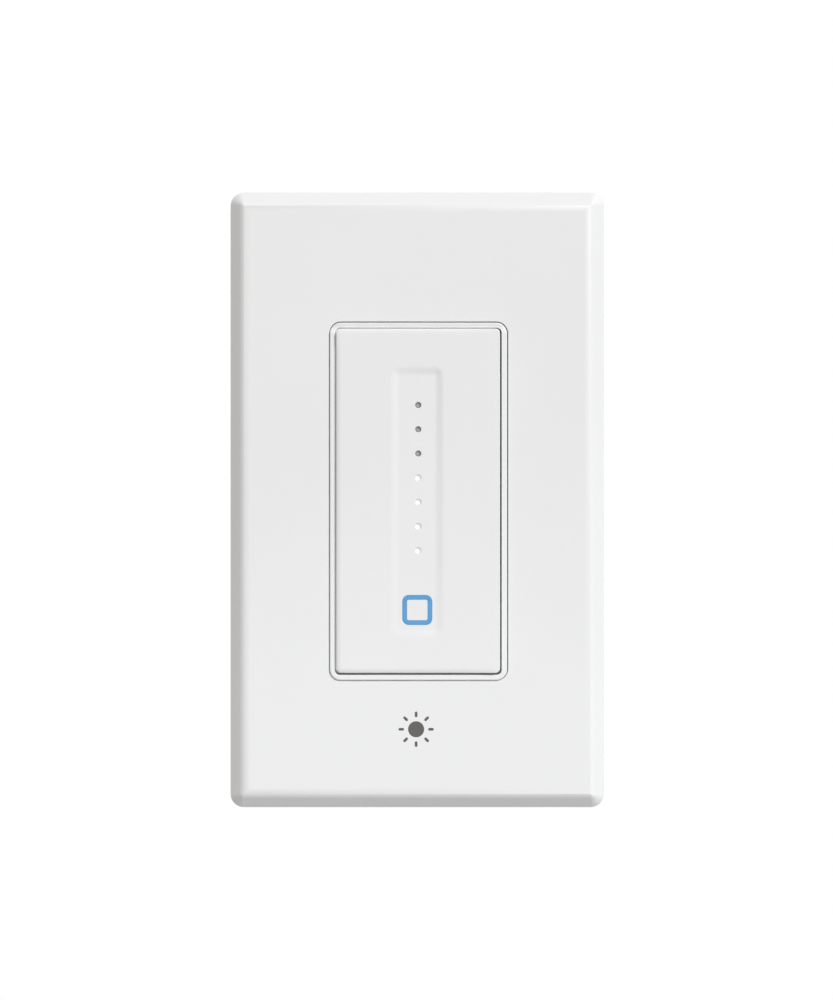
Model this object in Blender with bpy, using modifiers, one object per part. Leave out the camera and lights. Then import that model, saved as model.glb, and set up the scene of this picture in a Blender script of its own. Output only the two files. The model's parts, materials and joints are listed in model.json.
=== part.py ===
"""A smart dimmer switch for a wall box, modelled at its real size in metres.

The wall's surface is the plane y = 0. The switch faces -Y into the room, its body reaches +Y into the
wall box, Z is up, and the origin is the middle of the device on the wall's surface.
"""

import math

import bmesh
import bpy
from mathutils import Matrix

# Clearances
SEAT_GAP = 0.0003  # between a piece and what it is seated on
EDGE_GAP = 0.0003  # round a piece that drops into an opening
LENS_GAP = 0.00015  # round the small lenses in the paddle
PIN_GAP = 0.0002  # round the hinge pin and the screws' threads

# Mounting strap, a punched sheet of aluminium that also carries the heat away
STRAP_THICK = 0.0015
STRAP_WIDTH = 0.0445
STRAP_BODY_MARGIN = 0.00515  # from the body's end to the box screw
STRAP_END = 0.0040  # from the plate screw to the ear's end
STRAP_EAR_WIDTH = 0.0200
STRAP_CORNER = 0.0020
STRAP_EAR_CORNER = 0.0040
STRAP_SHOULDER = 0.0050  # slope from the body's width to the ear's
BOX_SCREW_SPACING = 0.0833
PLATE_SCREW_OFFSET = 0.00675  # from the box screw to the plate screw beyond it
BOX_SLOT_LENGTH = 0.0070
GROUND_TAB_X = 0.0150
GROUND_TAB_WIDTH = 0.0090
GROUND_TAB_LENGTH = 0.0100

# Screws
SCREW_RADIUS = 0.0017
PLATE_SCREW_HEAD = 0.0035
PLATE_SCREW_HEAD_HEIGHT = 0.0012
PLATE_SCREW_REACH = 0.0020  # past the back of the strap
BOX_SCREW_HEAD = 0.0037
BOX_SCREW_HEAD_HEIGHT = 0.0016
BOX_SCREW_REACH = 0.0200
SLOT_WIDTH = 0.0009
SLOT_DEPTH = 0.0007
KEEPER_RADIUS = 0.0045
KEEPER_THICK = 0.0006

# Front frame with the narrow bezel that shows round the paddle
BEZEL_WIDTH = 0.0330
BEZEL_HEIGHT = 0.0667
BEZEL_WALL = 0.00085
BEZEL_CORNER = 0.0019
BEZEL_ROUND = 0.0003
BEZEL_PROUD = 0.0004  # in front of the wall plate
FRAME_WALL = 0.0018  # round the control board
FRAME_FLOOR = 0.0008
FRAME_LEDGE = 0.0012  # the floor's width under the board's edge
CROSSBAR_MARGIN = 0.0006  # below the hinge lugs
HOOK_Z = 0.0200
HOOK_LENGTH = 0.0060
HOOK_THICK = 0.0014
HOOK_BARB = 0.0006
HOOK_BARB_HEIGHT = 0.0009

# Control board behind the paddle and what stands on it
BOARD_THICK = 0.0010
SWITCH_WIDTH = 0.0052
SWITCH_HEIGHT = 0.0015
SWITCH_FLOOR = 0.0003
SWITCH_Z = -0.0276
PLUNGER_RADIUS = 0.0015
PLUNGER_PROUD = 0.0005
PLUNGER_LENGTH = 0.0008
BOSS_RADIUS = 0.0013
BOSS_LENGTH = 0.0003
LED_WIDTH = 0.0010
LED_LENGTH = 0.0016
LED_HEIGHT = 0.0006
RING_LED_WIDTH = 0.0024
RING_LED_HEIGHT = 0.0008
RADIO_X = -0.0080
RADIO_Z = 0.0100
RADIO_WIDTH = 0.0090
RADIO_LENGTH = 0.0180
RADIO_BOARD = 0.0008
RADIO_CAN_HEIGHT = 0.0013
RADIO_CAN_LENGTH = 0.0120
RADIO_CAN_MARGIN = 0.0006
HEADER_Z = -0.0020
HEADER_WIDTH = 0.0127
HEADER_LENGTH = 0.0051

# Paddle, pressed at its foot and hinged near its top
PADDLE_GAP = 0.00035
PADDLE_PROUD = 0.0009  # in front of the bezel
PADDLE_WALL = 0.0013
PADDLE_SKIRT = 0.0012
PADDLE_ROUND = 0.0009
PADDLE_CORNER = 0.0010
PADDLE_TRAVEL = 0.0007  # of its lower edge when pressed
HINGE_INSET = 0.00315  # from the paddle's top edge
HINGE_PIN_RADIUS = 0.0006
HINGE_LUG_RADIUS = 0.0012
HINGE_LUG_CLEARANCE = 0.0003
HINGE_LUG_X = 0.0075
HINGE_LUG_WIDTH = 0.0040
HINGE_EAR_X = 0.0120
HINGE_EAR_WIDTH = 0.0024
CHANNEL_WIDTH = 0.0083  # between the middles of the two slopes
CHANNEL_HEIGHT = 0.0490
CHANNEL_Z = -0.0004
CHANNEL_SLOPE = 0.0019
CHANNEL_DEPTH = 0.0003
CHANNEL_CORNER = 0.0019
DOT_COUNT = 7
DOT_PITCH = 0.00456
DOT_TOP_Z = 0.01777
DOT_RADIUS = 0.00055
DOT_LIP = 0.0005
DOT_COUNTERBORE = 0.0010
SQUARE_Z = -0.0206
SQUARE_WIDTH = 0.00566
SQUARE_STROKE = 0.00082
SQUARE_CORNER = 0.0011
SQUARE_INNER_CORNER = 0.0004
LENS_FLANGE_MARGIN = 0.0006
LENS_FLANGE_THICK = 0.0006
GUIDE_WIDTH = 0.0030
GUIDE_THICK = 0.0011
GUIDE_END = 0.0017  # past the first and the last dot
GUIDE_PIN_RADIUS = 0.0007
RAIL_THICK = 0.0010
RAIL_HEIGHT = 0.0015
SPRING_X = 0.0105
SPRING_Z = -0.0275
SPRING_RADIUS = 0.00135
SPRING_WIRE = 0.00018
SPRING_TURNS = 3.5
SPIGOT_RADIUS = 0.0007
SPIGOT_LENGTH = 0.0011

# Wall plate and the sub plate that it snaps on
PLATE_WIDTH = 0.0699
PLATE_END = 0.00915  # from the plate screw to the plate's end
PLATE_WALL = 0.0018
PLATE_CORNER = 0.00245
PLATE_SLOPE = 0.0017  # width of the slanted edge, at 45 degrees
PLATE_BLEND = 0.0020  # width of the round that joins it to the face
PLATE_COLLAR = 0.0010
PLATE_COLLAR_GAP = 0.0003
CATCH_LENGTH = 0.0080
CATCH_REACH = 0.0009
CATCH_HEIGHT = 0.0011
CATCH_Z = (-0.0340, 0.0, 0.0340)
SUB_PLATE_THICK = 0.0016
SUB_PLATE_RIM = 0.0012
SUB_PLATE_CORNER = 0.0012
HEAD_WELL_DEPTH = 0.0008

# Housing in the wall box
HOUSING_WIDTH = 0.0435
HOUSING_MARGIN = 0.00325  # from the housing's end to the strap body's end
HOUSING_DEPTH = 0.0320
HOUSING_WALL = 0.0018
HOUSING_CORNER = 0.0030
HOUSING_CHAMFER = 0.0012
CORNER_BOSS = 0.0065
CORNER_BOSS_INSET = 0.0039
CORNER_BOSS_SOLID = 0.0080
HOUSING_SCREW_RADIUS = 0.0012
HOUSING_SCREW_HEAD = 0.0022
HOUSING_SCREW_HEAD_HEIGHT = 0.0016
RIB_REACH = 0.0014
RIB_HEIGHT = 0.0016
RIB_LENGTH = 0.0360
VENT_COUNT = 5
VENT_PITCH = 0.0040
VENT_WIDTH = 0.0014
VENT_LENGTH = 0.0120

# Terminals in pockets at the sides of the housing, open to the side and the back
TERMINAL_Z = 0.0140
TERMINALS = {"line": (-1, TERMINAL_Z), "load": (-1, -TERMINAL_Z), "neutral": (1, -TERMINAL_Z)}
POCKET_DEPTH = 0.0055
POCKET_WIDTH = 0.0105
POCKET_WALL = 0.0015
POCKET_FRONT = 0.0150
TERMINAL_PLATE_WIDTH = 0.0092
TERMINAL_PLATE_THICK = 0.0012
TERMINAL_Y = 0.0205
TERMINAL_SCREW_HEAD = 0.0034
TERMINAL_SCREW_HEAD_HEIGHT = 0.0022
TERMINAL_SCREW_LENGTH = 0.0030

# Power board and its pieces, placed by their middle in x and z
INSULATOR_THICK = 0.0004
INSULATOR_MARGIN = 0.00245
PAD_THICK = 0.0005
TRANSISTOR_X = 0.0065
TRANSISTOR_Z = 0.0180
TRANSISTOR_WIDTH = 0.0100
TRANSISTOR_BODY = 0.0090
TRANSISTOR_TAB = 0.0065
TRANSISTOR_THICK = 0.0045
TRANSISTOR_TAB_THICK = 0.0013
TRANSISTOR_HOLE = 0.0018
LEG_WIDTH = 0.0009
LEG_THICK = 0.0006
LEG_PITCH = 0.00254
LEG_DROP = 0.0035
POWER_BOARD_Y = 0.0080
POWER_BOARD_THICK = 0.0016
CAPACITOR_AT = (-0.0100, 0.0240)
CAPACITOR_RADIUS = 0.0050
CAPACITOR_HEIGHT = 0.0180
TRANSFORMER_AT = (0.0055, 0.0185)
TRANSFORMER_SIZE = (0.0160, 0.0130, 0.0140)
CHOKE_AT = (-0.0055, 0.0030)
CHOKE_RADIUS = 0.0062
CHOKE_SECTION = 0.0027
CHOKE_WIRE = 0.0004
CHOKE_TURNS = 12
SURGE_AT = (0.0090, 0.0040)
SURGE_RADIUS = 0.0045
SURGE_THICK = 0.0040
FILM_AT = (0.0, -0.0140)
FILM_SIZE = (0.0175, 0.0110, 0.0065)
FUSE_AT = (-0.0085, -0.0240)
FUSE_RADIUS = 0.0040
FUSE_HEIGHT = 0.0075

# Levels along Y, worked out from the wall's surface to the paddle's face
STRAP_FRONT = -STRAP_THICK
FRAME_BACK = STRAP_FRONT - SEAT_GAP
FLOOR_FRONT = FRAME_BACK - FRAME_FLOOR
BOARD_BACK = FLOOR_FRONT - SEAT_GAP
BOARD_FRONT = BOARD_BACK - BOARD_THICK
SWITCH_BACK = BOARD_FRONT - SEAT_GAP
SWITCH_FRONT = SWITCH_BACK - SWITCH_HEIGHT
PLUNGER_TIP = SWITCH_FRONT - PLUNGER_PROUD
BOSS_TIP = PLUNGER_TIP - SEAT_GAP
PADDLE_INNER = BOSS_TIP - BOSS_LENGTH
PADDLE_FRONT = PADDLE_INNER - PADDLE_WALL
CHANNEL_FLOOR = PADDLE_FRONT + CHANNEL_DEPTH
BEZEL_FRONT = PADDLE_FRONT + PADDLE_PROUD
PLATE_FRONT = BEZEL_FRONT + BEZEL_PROUD
PLATE_CEILING = PLATE_FRONT + PLATE_WALL
SKIRT_END = BOARD_FRONT - PADDLE_TRAVEL - SEAT_GAP
SUB_PLATE_BACK = STRAP_FRONT - SEAT_GAP
SUB_PLATE_FRONT = SUB_PLATE_BACK - SUB_PLATE_THICK
HOUSING_FRONT = SEAT_GAP
HOUSING_BACK = HOUSING_FRONT + HOUSING_DEPTH
HOUSING_CEILING = HOUSING_BACK - HOUSING_WALL
POWER_BOARD_BACK = POWER_BOARD_Y + POWER_BOARD_THICK
PARTS_Y = POWER_BOARD_BACK + SEAT_GAP

# Sizes that follow from two pieces meeting
PLATE_SCREW_SPACING = BOX_SCREW_SPACING + 2 * PLATE_SCREW_OFFSET
PLATE_HEIGHT = PLATE_SCREW_SPACING + 2 * PLATE_END
STRAP_HEIGHT = PLATE_SCREW_SPACING + 2 * STRAP_END
STRAP_BODY_HEIGHT = BOX_SCREW_SPACING - 2 * STRAP_BODY_MARGIN
HOUSING_HEIGHT = STRAP_BODY_HEIGHT - 2 * HOUSING_MARGIN
SUB_PLATE_RIM_INSET = CATCH_REACH
OPENING_WIDTH = BEZEL_WIDTH + 2 * EDGE_GAP
OPENING_HEIGHT = BEZEL_HEIGHT + 2 * EDGE_GAP
OPENING_CORNER = BEZEL_CORNER + EDGE_GAP
BEZEL_INNER_WIDTH = BEZEL_WIDTH - 2 * BEZEL_WALL
BEZEL_INNER_HEIGHT = BEZEL_HEIGHT - 2 * BEZEL_WALL
PADDLE_WIDTH = BEZEL_INNER_WIDTH - 2 * PADDLE_GAP
PADDLE_HEIGHT = BEZEL_INNER_HEIGHT - 2 * PADDLE_GAP
HINGE_Z = PADDLE_HEIGHT / 2 - HINGE_INSET
HINGE_Y = BOARD_FRONT - HINGE_LUG_CLEARANCE - HINGE_LUG_RADIUS
CROSSBAR_BOTTOM = HINGE_Z - HINGE_LUG_RADIUS - CROSSBAR_MARGIN
BAY_WIDTH = BEZEL_WIDTH - 2 * FRAME_WALL
BAY_BOTTOM = FRAME_WALL - BEZEL_HEIGHT / 2
CAVITY_WIDTH = HOUSING_WIDTH - 2 * HOUSING_WALL
CAVITY_HEIGHT = HOUSING_HEIGHT - 2 * HOUSING_WALL
INSULATOR_WIDTH = BEZEL_WIDTH - 2 * (HOOK_THICK + 2 * EDGE_GAP)
INSULATOR_HEIGHT = CAVITY_HEIGHT - 2 * INSULATOR_MARGIN
BOSS_X = HOUSING_WIDTH / 2 - CORNER_BOSS_INSET
BOSS_Z = HOUSING_HEIGHT / 2 - CORNER_BOSS_INSET
DOT_Z = [DOT_TOP_Z - i * DOT_PITCH for i in range(DOT_COUNT)]

OVERCUT = 0.001  # how far a cutter runs past the face that it opens
SINK = 0.0002  # how far a boss or rib runs into the wall that carries it
ARC_STEPS = 4
DOME_STEPS = 3
ROUND = 16  # sides of a screw or a small round piece
CIRCLE = 2 * math.pi


def clear_scene():
    for old in list(bpy.data.objects):
        bpy.data.objects.remove(old, do_unlink=True)


def new_collection(name):
    collection = bpy.data.collections.new(name)
    bpy.context.scene.collection.children.link(collection)
    return collection


clear_scene()
PARTS = new_collection("smart_dimmer_switch")
CUTTERS = new_collection("cutters")


def material(name, colour, roughness, metallic=0.0):
    made = bpy.data.materials.new(name)
    made.use_nodes = True
    shader = made.node_tree.nodes["Principled BSDF"]
    shader.inputs["Base Color"].default_value = (*colour, 1.0)
    shader.inputs["Roughness"].default_value = roughness
    shader.inputs["Metallic"].default_value = metallic
    made.diffuse_color = (*colour, 1.0)
    return made


WHITE_PLASTIC = material("white_plastic", (0.86, 0.86, 0.855), 0.38)
BEZEL_PLASTIC = material("bezel_plastic", (0.85, 0.85, 0.845), 0.35)
INNER_PLASTIC = material("inner_plastic", (0.80, 0.80, 0.79), 0.50)
HOUSING_PLASTIC = material("housing_plastic", (0.055, 0.055, 0.06), 0.55)
CLEAR_PLASTIC = material("clear_plastic", (0.90, 0.92, 0.94), 0.15)
BLUE_LENS = material("blue_lens", (0.12, 0.35, 0.68), 0.25)
BOARD_GREEN = material("board_green", (0.02, 0.16, 0.07), 0.45)
ALUMINIUM = material("aluminium", (0.78, 0.79, 0.80), 0.40, 1.0)
STEEL = material("steel", (0.62, 0.62, 0.60), 0.30, 1.0)
BRASS = material("brass", (0.78, 0.60, 0.28), 0.35, 1.0)
GREEN_SCREW = material("green_screw", (0.05, 0.33, 0.12), 0.40, 0.6)
BLACK_PART = material("black_part", (0.02, 0.02, 0.022), 0.50)
COPPER = material("copper", (0.72, 0.36, 0.20), 0.35, 1.0)
DISC_BLUE = material("disc_blue", (0.05, 0.15, 0.45), 0.45)
FILM_YELLOW = material("film_yellow", (0.75, 0.55, 0.08), 0.45)
FIBRE = material("fibre", (0.42, 0.20, 0.12), 0.80)
PAD_GREY = material("pad_grey", (0.45, 0.47, 0.50), 0.90)


def new_object(name, mesh, finish=None):
    """Puts a mesh into the model, or among the cutters when it has no finish."""
    piece = bpy.data.objects.new(name, mesh)
    if finish is None:
        piece.hide_render = True
        piece.display_type = "WIRE"
        CUTTERS.objects.link(piece)
    else:
        mesh.materials.append(finish)
        PARTS.objects.link(piece)
    return piece


def from_bmesh(name, shape, finish=None):
    bmesh.ops.recalc_face_normals(shape, faces=shape.faces)
    mesh = bpy.data.meshes.new(name)
    shape.to_mesh(mesh)
    shape.free()
    mesh.shade_smooth()
    mesh.set_sharp_from_angle(angle=math.radians(30))
    return new_object(name, mesh, finish)


def rounded_outline(corners, steps=ARC_STEPS):
    """Points round a polygon of (u, v, radius) corners, each corner turned into an arc."""
    points = []
    for i, (u, v, radius) in enumerate(corners):
        before, after = corners[i - 1], corners[(i + 1) % len(corners)]
        if radius <= 0:
            points.append((u, v))
            continue
        a = math.atan2(before[1] - v, before[0] - u)
        b = math.atan2(after[1] - v, after[0] - u)
        turn = (b - a + math.pi) % CIRCLE - math.pi
        reach = radius / math.sin(abs(turn) / 2)
        middle = a + turn / 2
        cu, cv = u + reach * math.cos(middle), v + reach * math.sin(middle)
        sweep = math.copysign(math.pi - abs(turn), turn)
        start = middle + math.pi + sweep / 2
        for k in range(steps + 1):
            angle = start - sweep * k / steps
            points.append((cu + radius * math.cos(angle), cv + radius * math.sin(angle)))
    return points


def rounded_rectangle(width, height, radius, middle=(0.0, 0.0), steps=ARC_STEPS):
    u, v = middle
    w, h = width / 2, height / 2
    corners = [(u - w, v - h, radius), (u + w, v - h, radius), (u + w, v + h, radius), (u - w, v + h, radius)]
    return rounded_outline(corners, steps)


def loft(name, rings, finish=None):
    """A closed solid through rings of as many points each, in (x, y, z)."""
    shape = bmesh.new()
    loops = [[shape.verts.new(p) for p in ring] for ring in rings]
    count = len(rings[0])
    for low, high in zip(loops, loops[1:]):
        for i in range(count):
            j = (i + 1) % count
            shape.faces.new((low[i], low[j], high[j], high[i]))
    shape.faces.new(loops[0])
    shape.faces.new(loops[-1])
    return from_bmesh(name, shape, finish)


def stack(name, width, height, radius, levels, middle=(0.0, 0.0), finish=None):
    """Rounded rectangles facing Y, one for each (y, inset) level, joined into a solid."""
    rings = []
    for y, inset in levels:
        corner = max(radius - inset, radius / 5)
        ring = rounded_rectangle(width - 2 * inset, height - 2 * inset, corner, middle)
        rings.append([(u, y, v) for u, v in ring])
    return loft(name, rings, finish)


def prism(name, outline, low, high, axis="Y", finish=None):
    """An outline pushed along one axis: (x, z) along Y, (y, z) along X, (x, y) along Z."""
    place = {
        "Y": lambda u, v, w: (u, w, v),
        "X": lambda u, v, w: (w, u, v),
        "Z": lambda u, v, w: (u, v, w),
    }[axis]
    return loft(name, [[place(u, v, w) for u, v in outline] for w in (low, high)], finish)


def box(name, low, high, finish=None):
    shape = bmesh.new()
    bmesh.ops.create_cube(shape, size=1.0)
    size = [b - a for a, b in zip(low, high)]
    middle = [(a + b) / 2 for a, b in zip(low, high)]
    bmesh.ops.scale(shape, vec=size, verts=shape.verts)
    bmesh.ops.translate(shape, vec=middle, verts=shape.verts)
    return from_bmesh(name, shape, finish)


AXIS_TURN = {
    "X": Matrix.Rotation(math.pi / 2, 4, "Y"),
    "Y": Matrix.Rotation(-math.pi / 2, 4, "X"),
    "Z": Matrix.Identity(4),
}


def add_rod(shape, middle, radius, length, axis="Y", sides=ROUND):
    turn = Matrix.Translation(middle) @ AXIS_TURN[axis]
    bmesh.ops.create_cone(
        shape, cap_ends=True, segments=sides, radius1=radius, radius2=radius, depth=length, matrix=turn
    )


def rod(name, middle, radius, length, axis="Y", finish=None, sides=ROUND):
    shape = bmesh.new()
    add_rod(shape, middle, radius, length, axis, sides)
    return from_bmesh(name, shape, finish)


def rods(name, middles, radius, length, axis="Y", sides=ROUND):
    """Several equal rods in one cutter."""
    shape = bmesh.new()
    for middle in middles:
        add_rod(shape, middle, radius, length, axis, sides)
    return from_bmesh(name, shape)


def turned(name, profile, at, facing, finish, sides=ROUND):
    """A profile of (radius, height) turned about a line through `at` that points along `facing`.

    The profile runs down the outside from the top, and the top points along `facing`.
    """
    mesh = bpy.data.meshes.new(name)
    points = [(r, 0.0, h) for r, h in profile]
    mesh.from_pydata(points, [(i, i + 1) for i in range(len(points) - 1)], [])
    piece = new_object(name, mesh, finish)
    screw = piece.modifiers.new("turn", "SCREW")
    screw.axis = "Z"
    screw.steps = screw.render_steps = sides
    screw.use_merge_vertices = True
    screw.merge_threshold = 0.00001
    screw.use_smooth_shade = True
    piece.location = at
    piece.rotation_euler = {
        "-Y": (math.pi / 2, 0, 0),
        "+Y": (-math.pi / 2, 0, 0),
        "+X": (0, math.pi / 2, 0),
        "-X": (0, -math.pi / 2, 0),
        "-Z": (math.pi, 0, 0),
    }[facing]
    return piece


def combine(piece, tools, operation):
    for tool in tools:
        step = piece.modifiers.new(tool.name, "BOOLEAN")
        step.operation = operation
        step.solver = "EXACT"
        step.object = tool


def cut(piece, *tools):
    combine(piece, tools, "DIFFERENCE")


def join(piece, *tools):
    combine(piece, tools, "UNION")


def pan_screw(name, at, facing, radius, length, head, head_height, finish):
    """A screw whose head's underside is at `at`, with a domed head and a driver slot."""
    rim = head_height / 5
    dome = [math.pi / 2 * k / DOME_STEPS for k in range(DOME_STEPS + 1)]
    profile = [(head * math.sin(a), rim + (head_height - rim) * math.cos(a)) for a in dome]
    profile += [(head, 0.0), (radius, 0.0), (radius, radius / 2 - length)]
    profile += [(radius / 2, -length), (0.0, -length)]
    piece = turned(name, profile, at, facing, finish)
    slot = box(
        name + "_slot",
        (-head - OVERCUT, -SLOT_WIDTH / 2, head_height - SLOT_DEPTH),
        (head + OVERCUT, SLOT_WIDTH / 2, head_height + OVERCUT),
    )
    slot.location = piece.location
    slot.rotation_euler = piece.rotation_euler
    cut(piece, slot)
    return piece


def mounting_strap():
    """The punched strap: body, two ears, screw slots, a header window and a bent ground tab."""
    w, ear = STRAP_WIDTH / 2, STRAP_EAR_WIDTH / 2
    body, end = STRAP_BODY_HEIGHT / 2, STRAP_HEIGHT / 2
    shoulder = body + STRAP_SHOULDER
    quarter = [
        (w, body, STRAP_CORNER),
        (ear + STRAP_SHOULDER, body, STRAP_CORNER),
        (ear, shoulder, STRAP_CORNER),
        (ear, end, STRAP_EAR_CORNER),
    ]
    right = [(x, -z, r) for x, z, r in reversed(quarter)] + quarter
    left = [(-x, z, r) for x, z, r in reversed(right)]
    strap = prism("mounting_strap", rounded_outline(right + left), STRAP_FRONT, 0.0, finish=ALUMINIUM)

    tab_edge = -body
    tab = box(
        "ground_tab",
        (GROUND_TAB_X - GROUND_TAB_WIDTH / 2, STRAP_FRONT + SINK, tab_edge + SINK),
        (GROUND_TAB_X + GROUND_TAB_WIDTH / 2, GROUND_TAB_LENGTH, tab_edge + STRAP_THICK),
    )
    join(strap, tab)

    middle_y = STRAP_FRONT / 2
    through = STRAP_THICK + 2 * OVERCUT
    slots = []
    for side, name in ((1, "top"), (-1, "bottom")):
        at = (0.0, side * BOX_SCREW_SPACING / 2)
        width = 2 * (SCREW_RADIUS + EDGE_GAP)
        outline = rounded_rectangle(BOX_SLOT_LENGTH, width, width / 2 - SINK / 10, at)
        slots.append(prism("box_slot_" + name, outline, STRAP_FRONT - OVERCUT, OVERCUT))
    tapped = [(0.0, middle_y, s * PLATE_SCREW_SPACING / 2) for s in (1, -1)]
    housing_holes = [(sx * BOSS_X, middle_y, sz * BOSS_Z) for sx in (1, -1) for sz in (1, -1)]
    window = box(
        "header_window",
        (-HEADER_WIDTH / 2 - OVERCUT, STRAP_FRONT - OVERCUT, HEADER_Z - HEADER_LENGTH / 2 - OVERCUT),
        (HEADER_WIDTH / 2 + OVERCUT, OVERCUT, HEADER_Z + HEADER_LENGTH / 2 + OVERCUT),
    )
    cut(
        strap,
        *slots,
        rods("tapped_holes", tapped, SCREW_RADIUS + PIN_GAP, through),
        rods("housing_screw_holes", housing_holes, HOUSING_SCREW_RADIUS + PIN_GAP, through),
        window,
        *[
            box(
                f"hook_slot_{i}",
                (min(x0, x1), STRAP_FRONT - OVERCUT, z - HOOK_LENGTH / 2 - EDGE_GAP),
                (max(x0, x1), OVERCUT, z + HOOK_LENGTH / 2 + EDGE_GAP),
            )
            for i, (x0, x1, z) in enumerate(hook_slots())
        ],
        rod(
            "ground_hole",
            (GROUND_TAB_X, GROUND_TAB_LENGTH / 2, tab_edge),
            SCREW_RADIUS + PIN_GAP,
            4 * STRAP_THICK,
            "Z",
        ),
    )
    return strap


def hook_slots():
    """The two ends in x and the middle in z of each slot that a frame hook passes."""
    outer = BEZEL_WIDTH / 2 + EDGE_GAP
    inner = BEZEL_WIDTH / 2 - HOOK_THICK - EDGE_GAP
    return [(s * inner, s * outer, t * HOOK_Z) for s in (1, -1) for t in (1, -1)]


def strap_screws():
    """Screws for the sub plate, screws for the wall box, and the washers that keep the latter."""
    for side, name in ((1, "top"), (-1, "bottom")):
        z = side * PLATE_SCREW_SPACING / 2
        seat = SUB_PLATE_FRONT + HEAD_WELL_DEPTH - SEAT_GAP
        pan_screw(
            "plate_screw_" + name,
            (0.0, seat, z),
            "-Y",
            SCREW_RADIUS,
            PLATE_SCREW_REACH - seat,
            PLATE_SCREW_HEAD,
            PLATE_SCREW_HEAD_HEIGHT,
            STEEL,
        )
        z = side * BOX_SCREW_SPACING / 2
        seat = STRAP_FRONT - SEAT_GAP
        pan_screw(
            "box_screw_" + name,
            (0.0, seat, z),
            "-Y",
            SCREW_RADIUS,
            BOX_SCREW_REACH - seat,
            BOX_SCREW_HEAD,
            BOX_SCREW_HEAD_HEIGHT,
            STEEL,
        )
        middle = (0.0, SEAT_GAP + KEEPER_THICK / 2, z)
        keeper = rod("screw_keeper_" + name, middle, KEEPER_RADIUS, KEEPER_THICK, finish=FIBRE)
        bore = SCREW_RADIUS + PIN_GAP
        cut(keeper, rod("keeper_bore_" + name, middle, bore, KEEPER_THICK + 2 * OVERCUT))


def plate_levels():
    """(y, inset) of the wall plate's edge: a straight side, a 45 degree slope, a round to the face."""
    half_turn = math.pi / 4
    radius = PLATE_BLEND / math.sin(half_turn)
    rise = radius * (1 - math.cos(half_turn))
    slope_top = PLATE_FRONT + rise
    levels = [(0.0, 0.0), (slope_top + PLATE_SLOPE, 0.0)]
    for k in range(ARC_STEPS + 1):
        angle = half_turn * (1 - k / ARC_STEPS)
        inset = PLATE_SLOPE + PLATE_BLEND - radius * math.sin(angle)
        levels.append((PLATE_FRONT + radius * (1 - math.cos(angle)), inset))
    return levels


def wall_plate():
    """The screwless cover: a hollow shell with a slanted edge, a collared opening and six catches."""
    plate = stack("wall_plate", PLATE_WIDTH, PLATE_HEIGHT, PLATE_CORNER, plate_levels(), finish=WHITE_PLASTIC)
    slant = PLATE_SLOPE
    hollow = stack(
        "plate_hollow",
        PLATE_WIDTH - 2 * PLATE_WALL,
        PLATE_HEIGHT - 2 * PLATE_WALL,
        SUB_PLATE_CORNER + EDGE_GAP,
        [(OVERCUT, 0.0), (PLATE_CEILING + slant, 0.0), (PLATE_CEILING, slant)],
    )
    collar = prism(
        "plate_collar",
        rounded_rectangle(
            OPENING_WIDTH + 2 * PLATE_COLLAR,
            OPENING_HEIGHT + 2 * PLATE_COLLAR,
            OPENING_CORNER + PLATE_COLLAR,
        ),
        PLATE_CEILING - SINK,
        SUB_PLATE_FRONT - PLATE_COLLAR_GAP,
    )
    cut(plate, hollow)
    join(plate, collar)
    wall = PLATE_WIDTH / 2 - PLATE_WALL
    back = SUB_PLATE_BACK + SEAT_GAP
    for side in (1, -1):
        for z in CATCH_Z:
            outline = [
                (side * (wall + SINK), back),
                (side * (wall - CATCH_REACH), back),
                (side * (wall - CATCH_REACH / 3), back + CATCH_HEIGHT),
                (side * (wall + SINK), back + CATCH_HEIGHT),
            ]
            name = f"catch_{'right' if side > 0 else 'left'}_{z:+.3f}"
            join(plate, prism(name, outline, z - CATCH_LENGTH / 2, z + CATCH_LENGTH / 2, "Z"))
    opening = rounded_rectangle(OPENING_WIDTH, OPENING_HEIGHT, OPENING_CORNER)
    cut(plate, prism("plate_opening", opening, PLATE_FRONT - OVERCUT, OVERCUT))
    return plate


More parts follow.
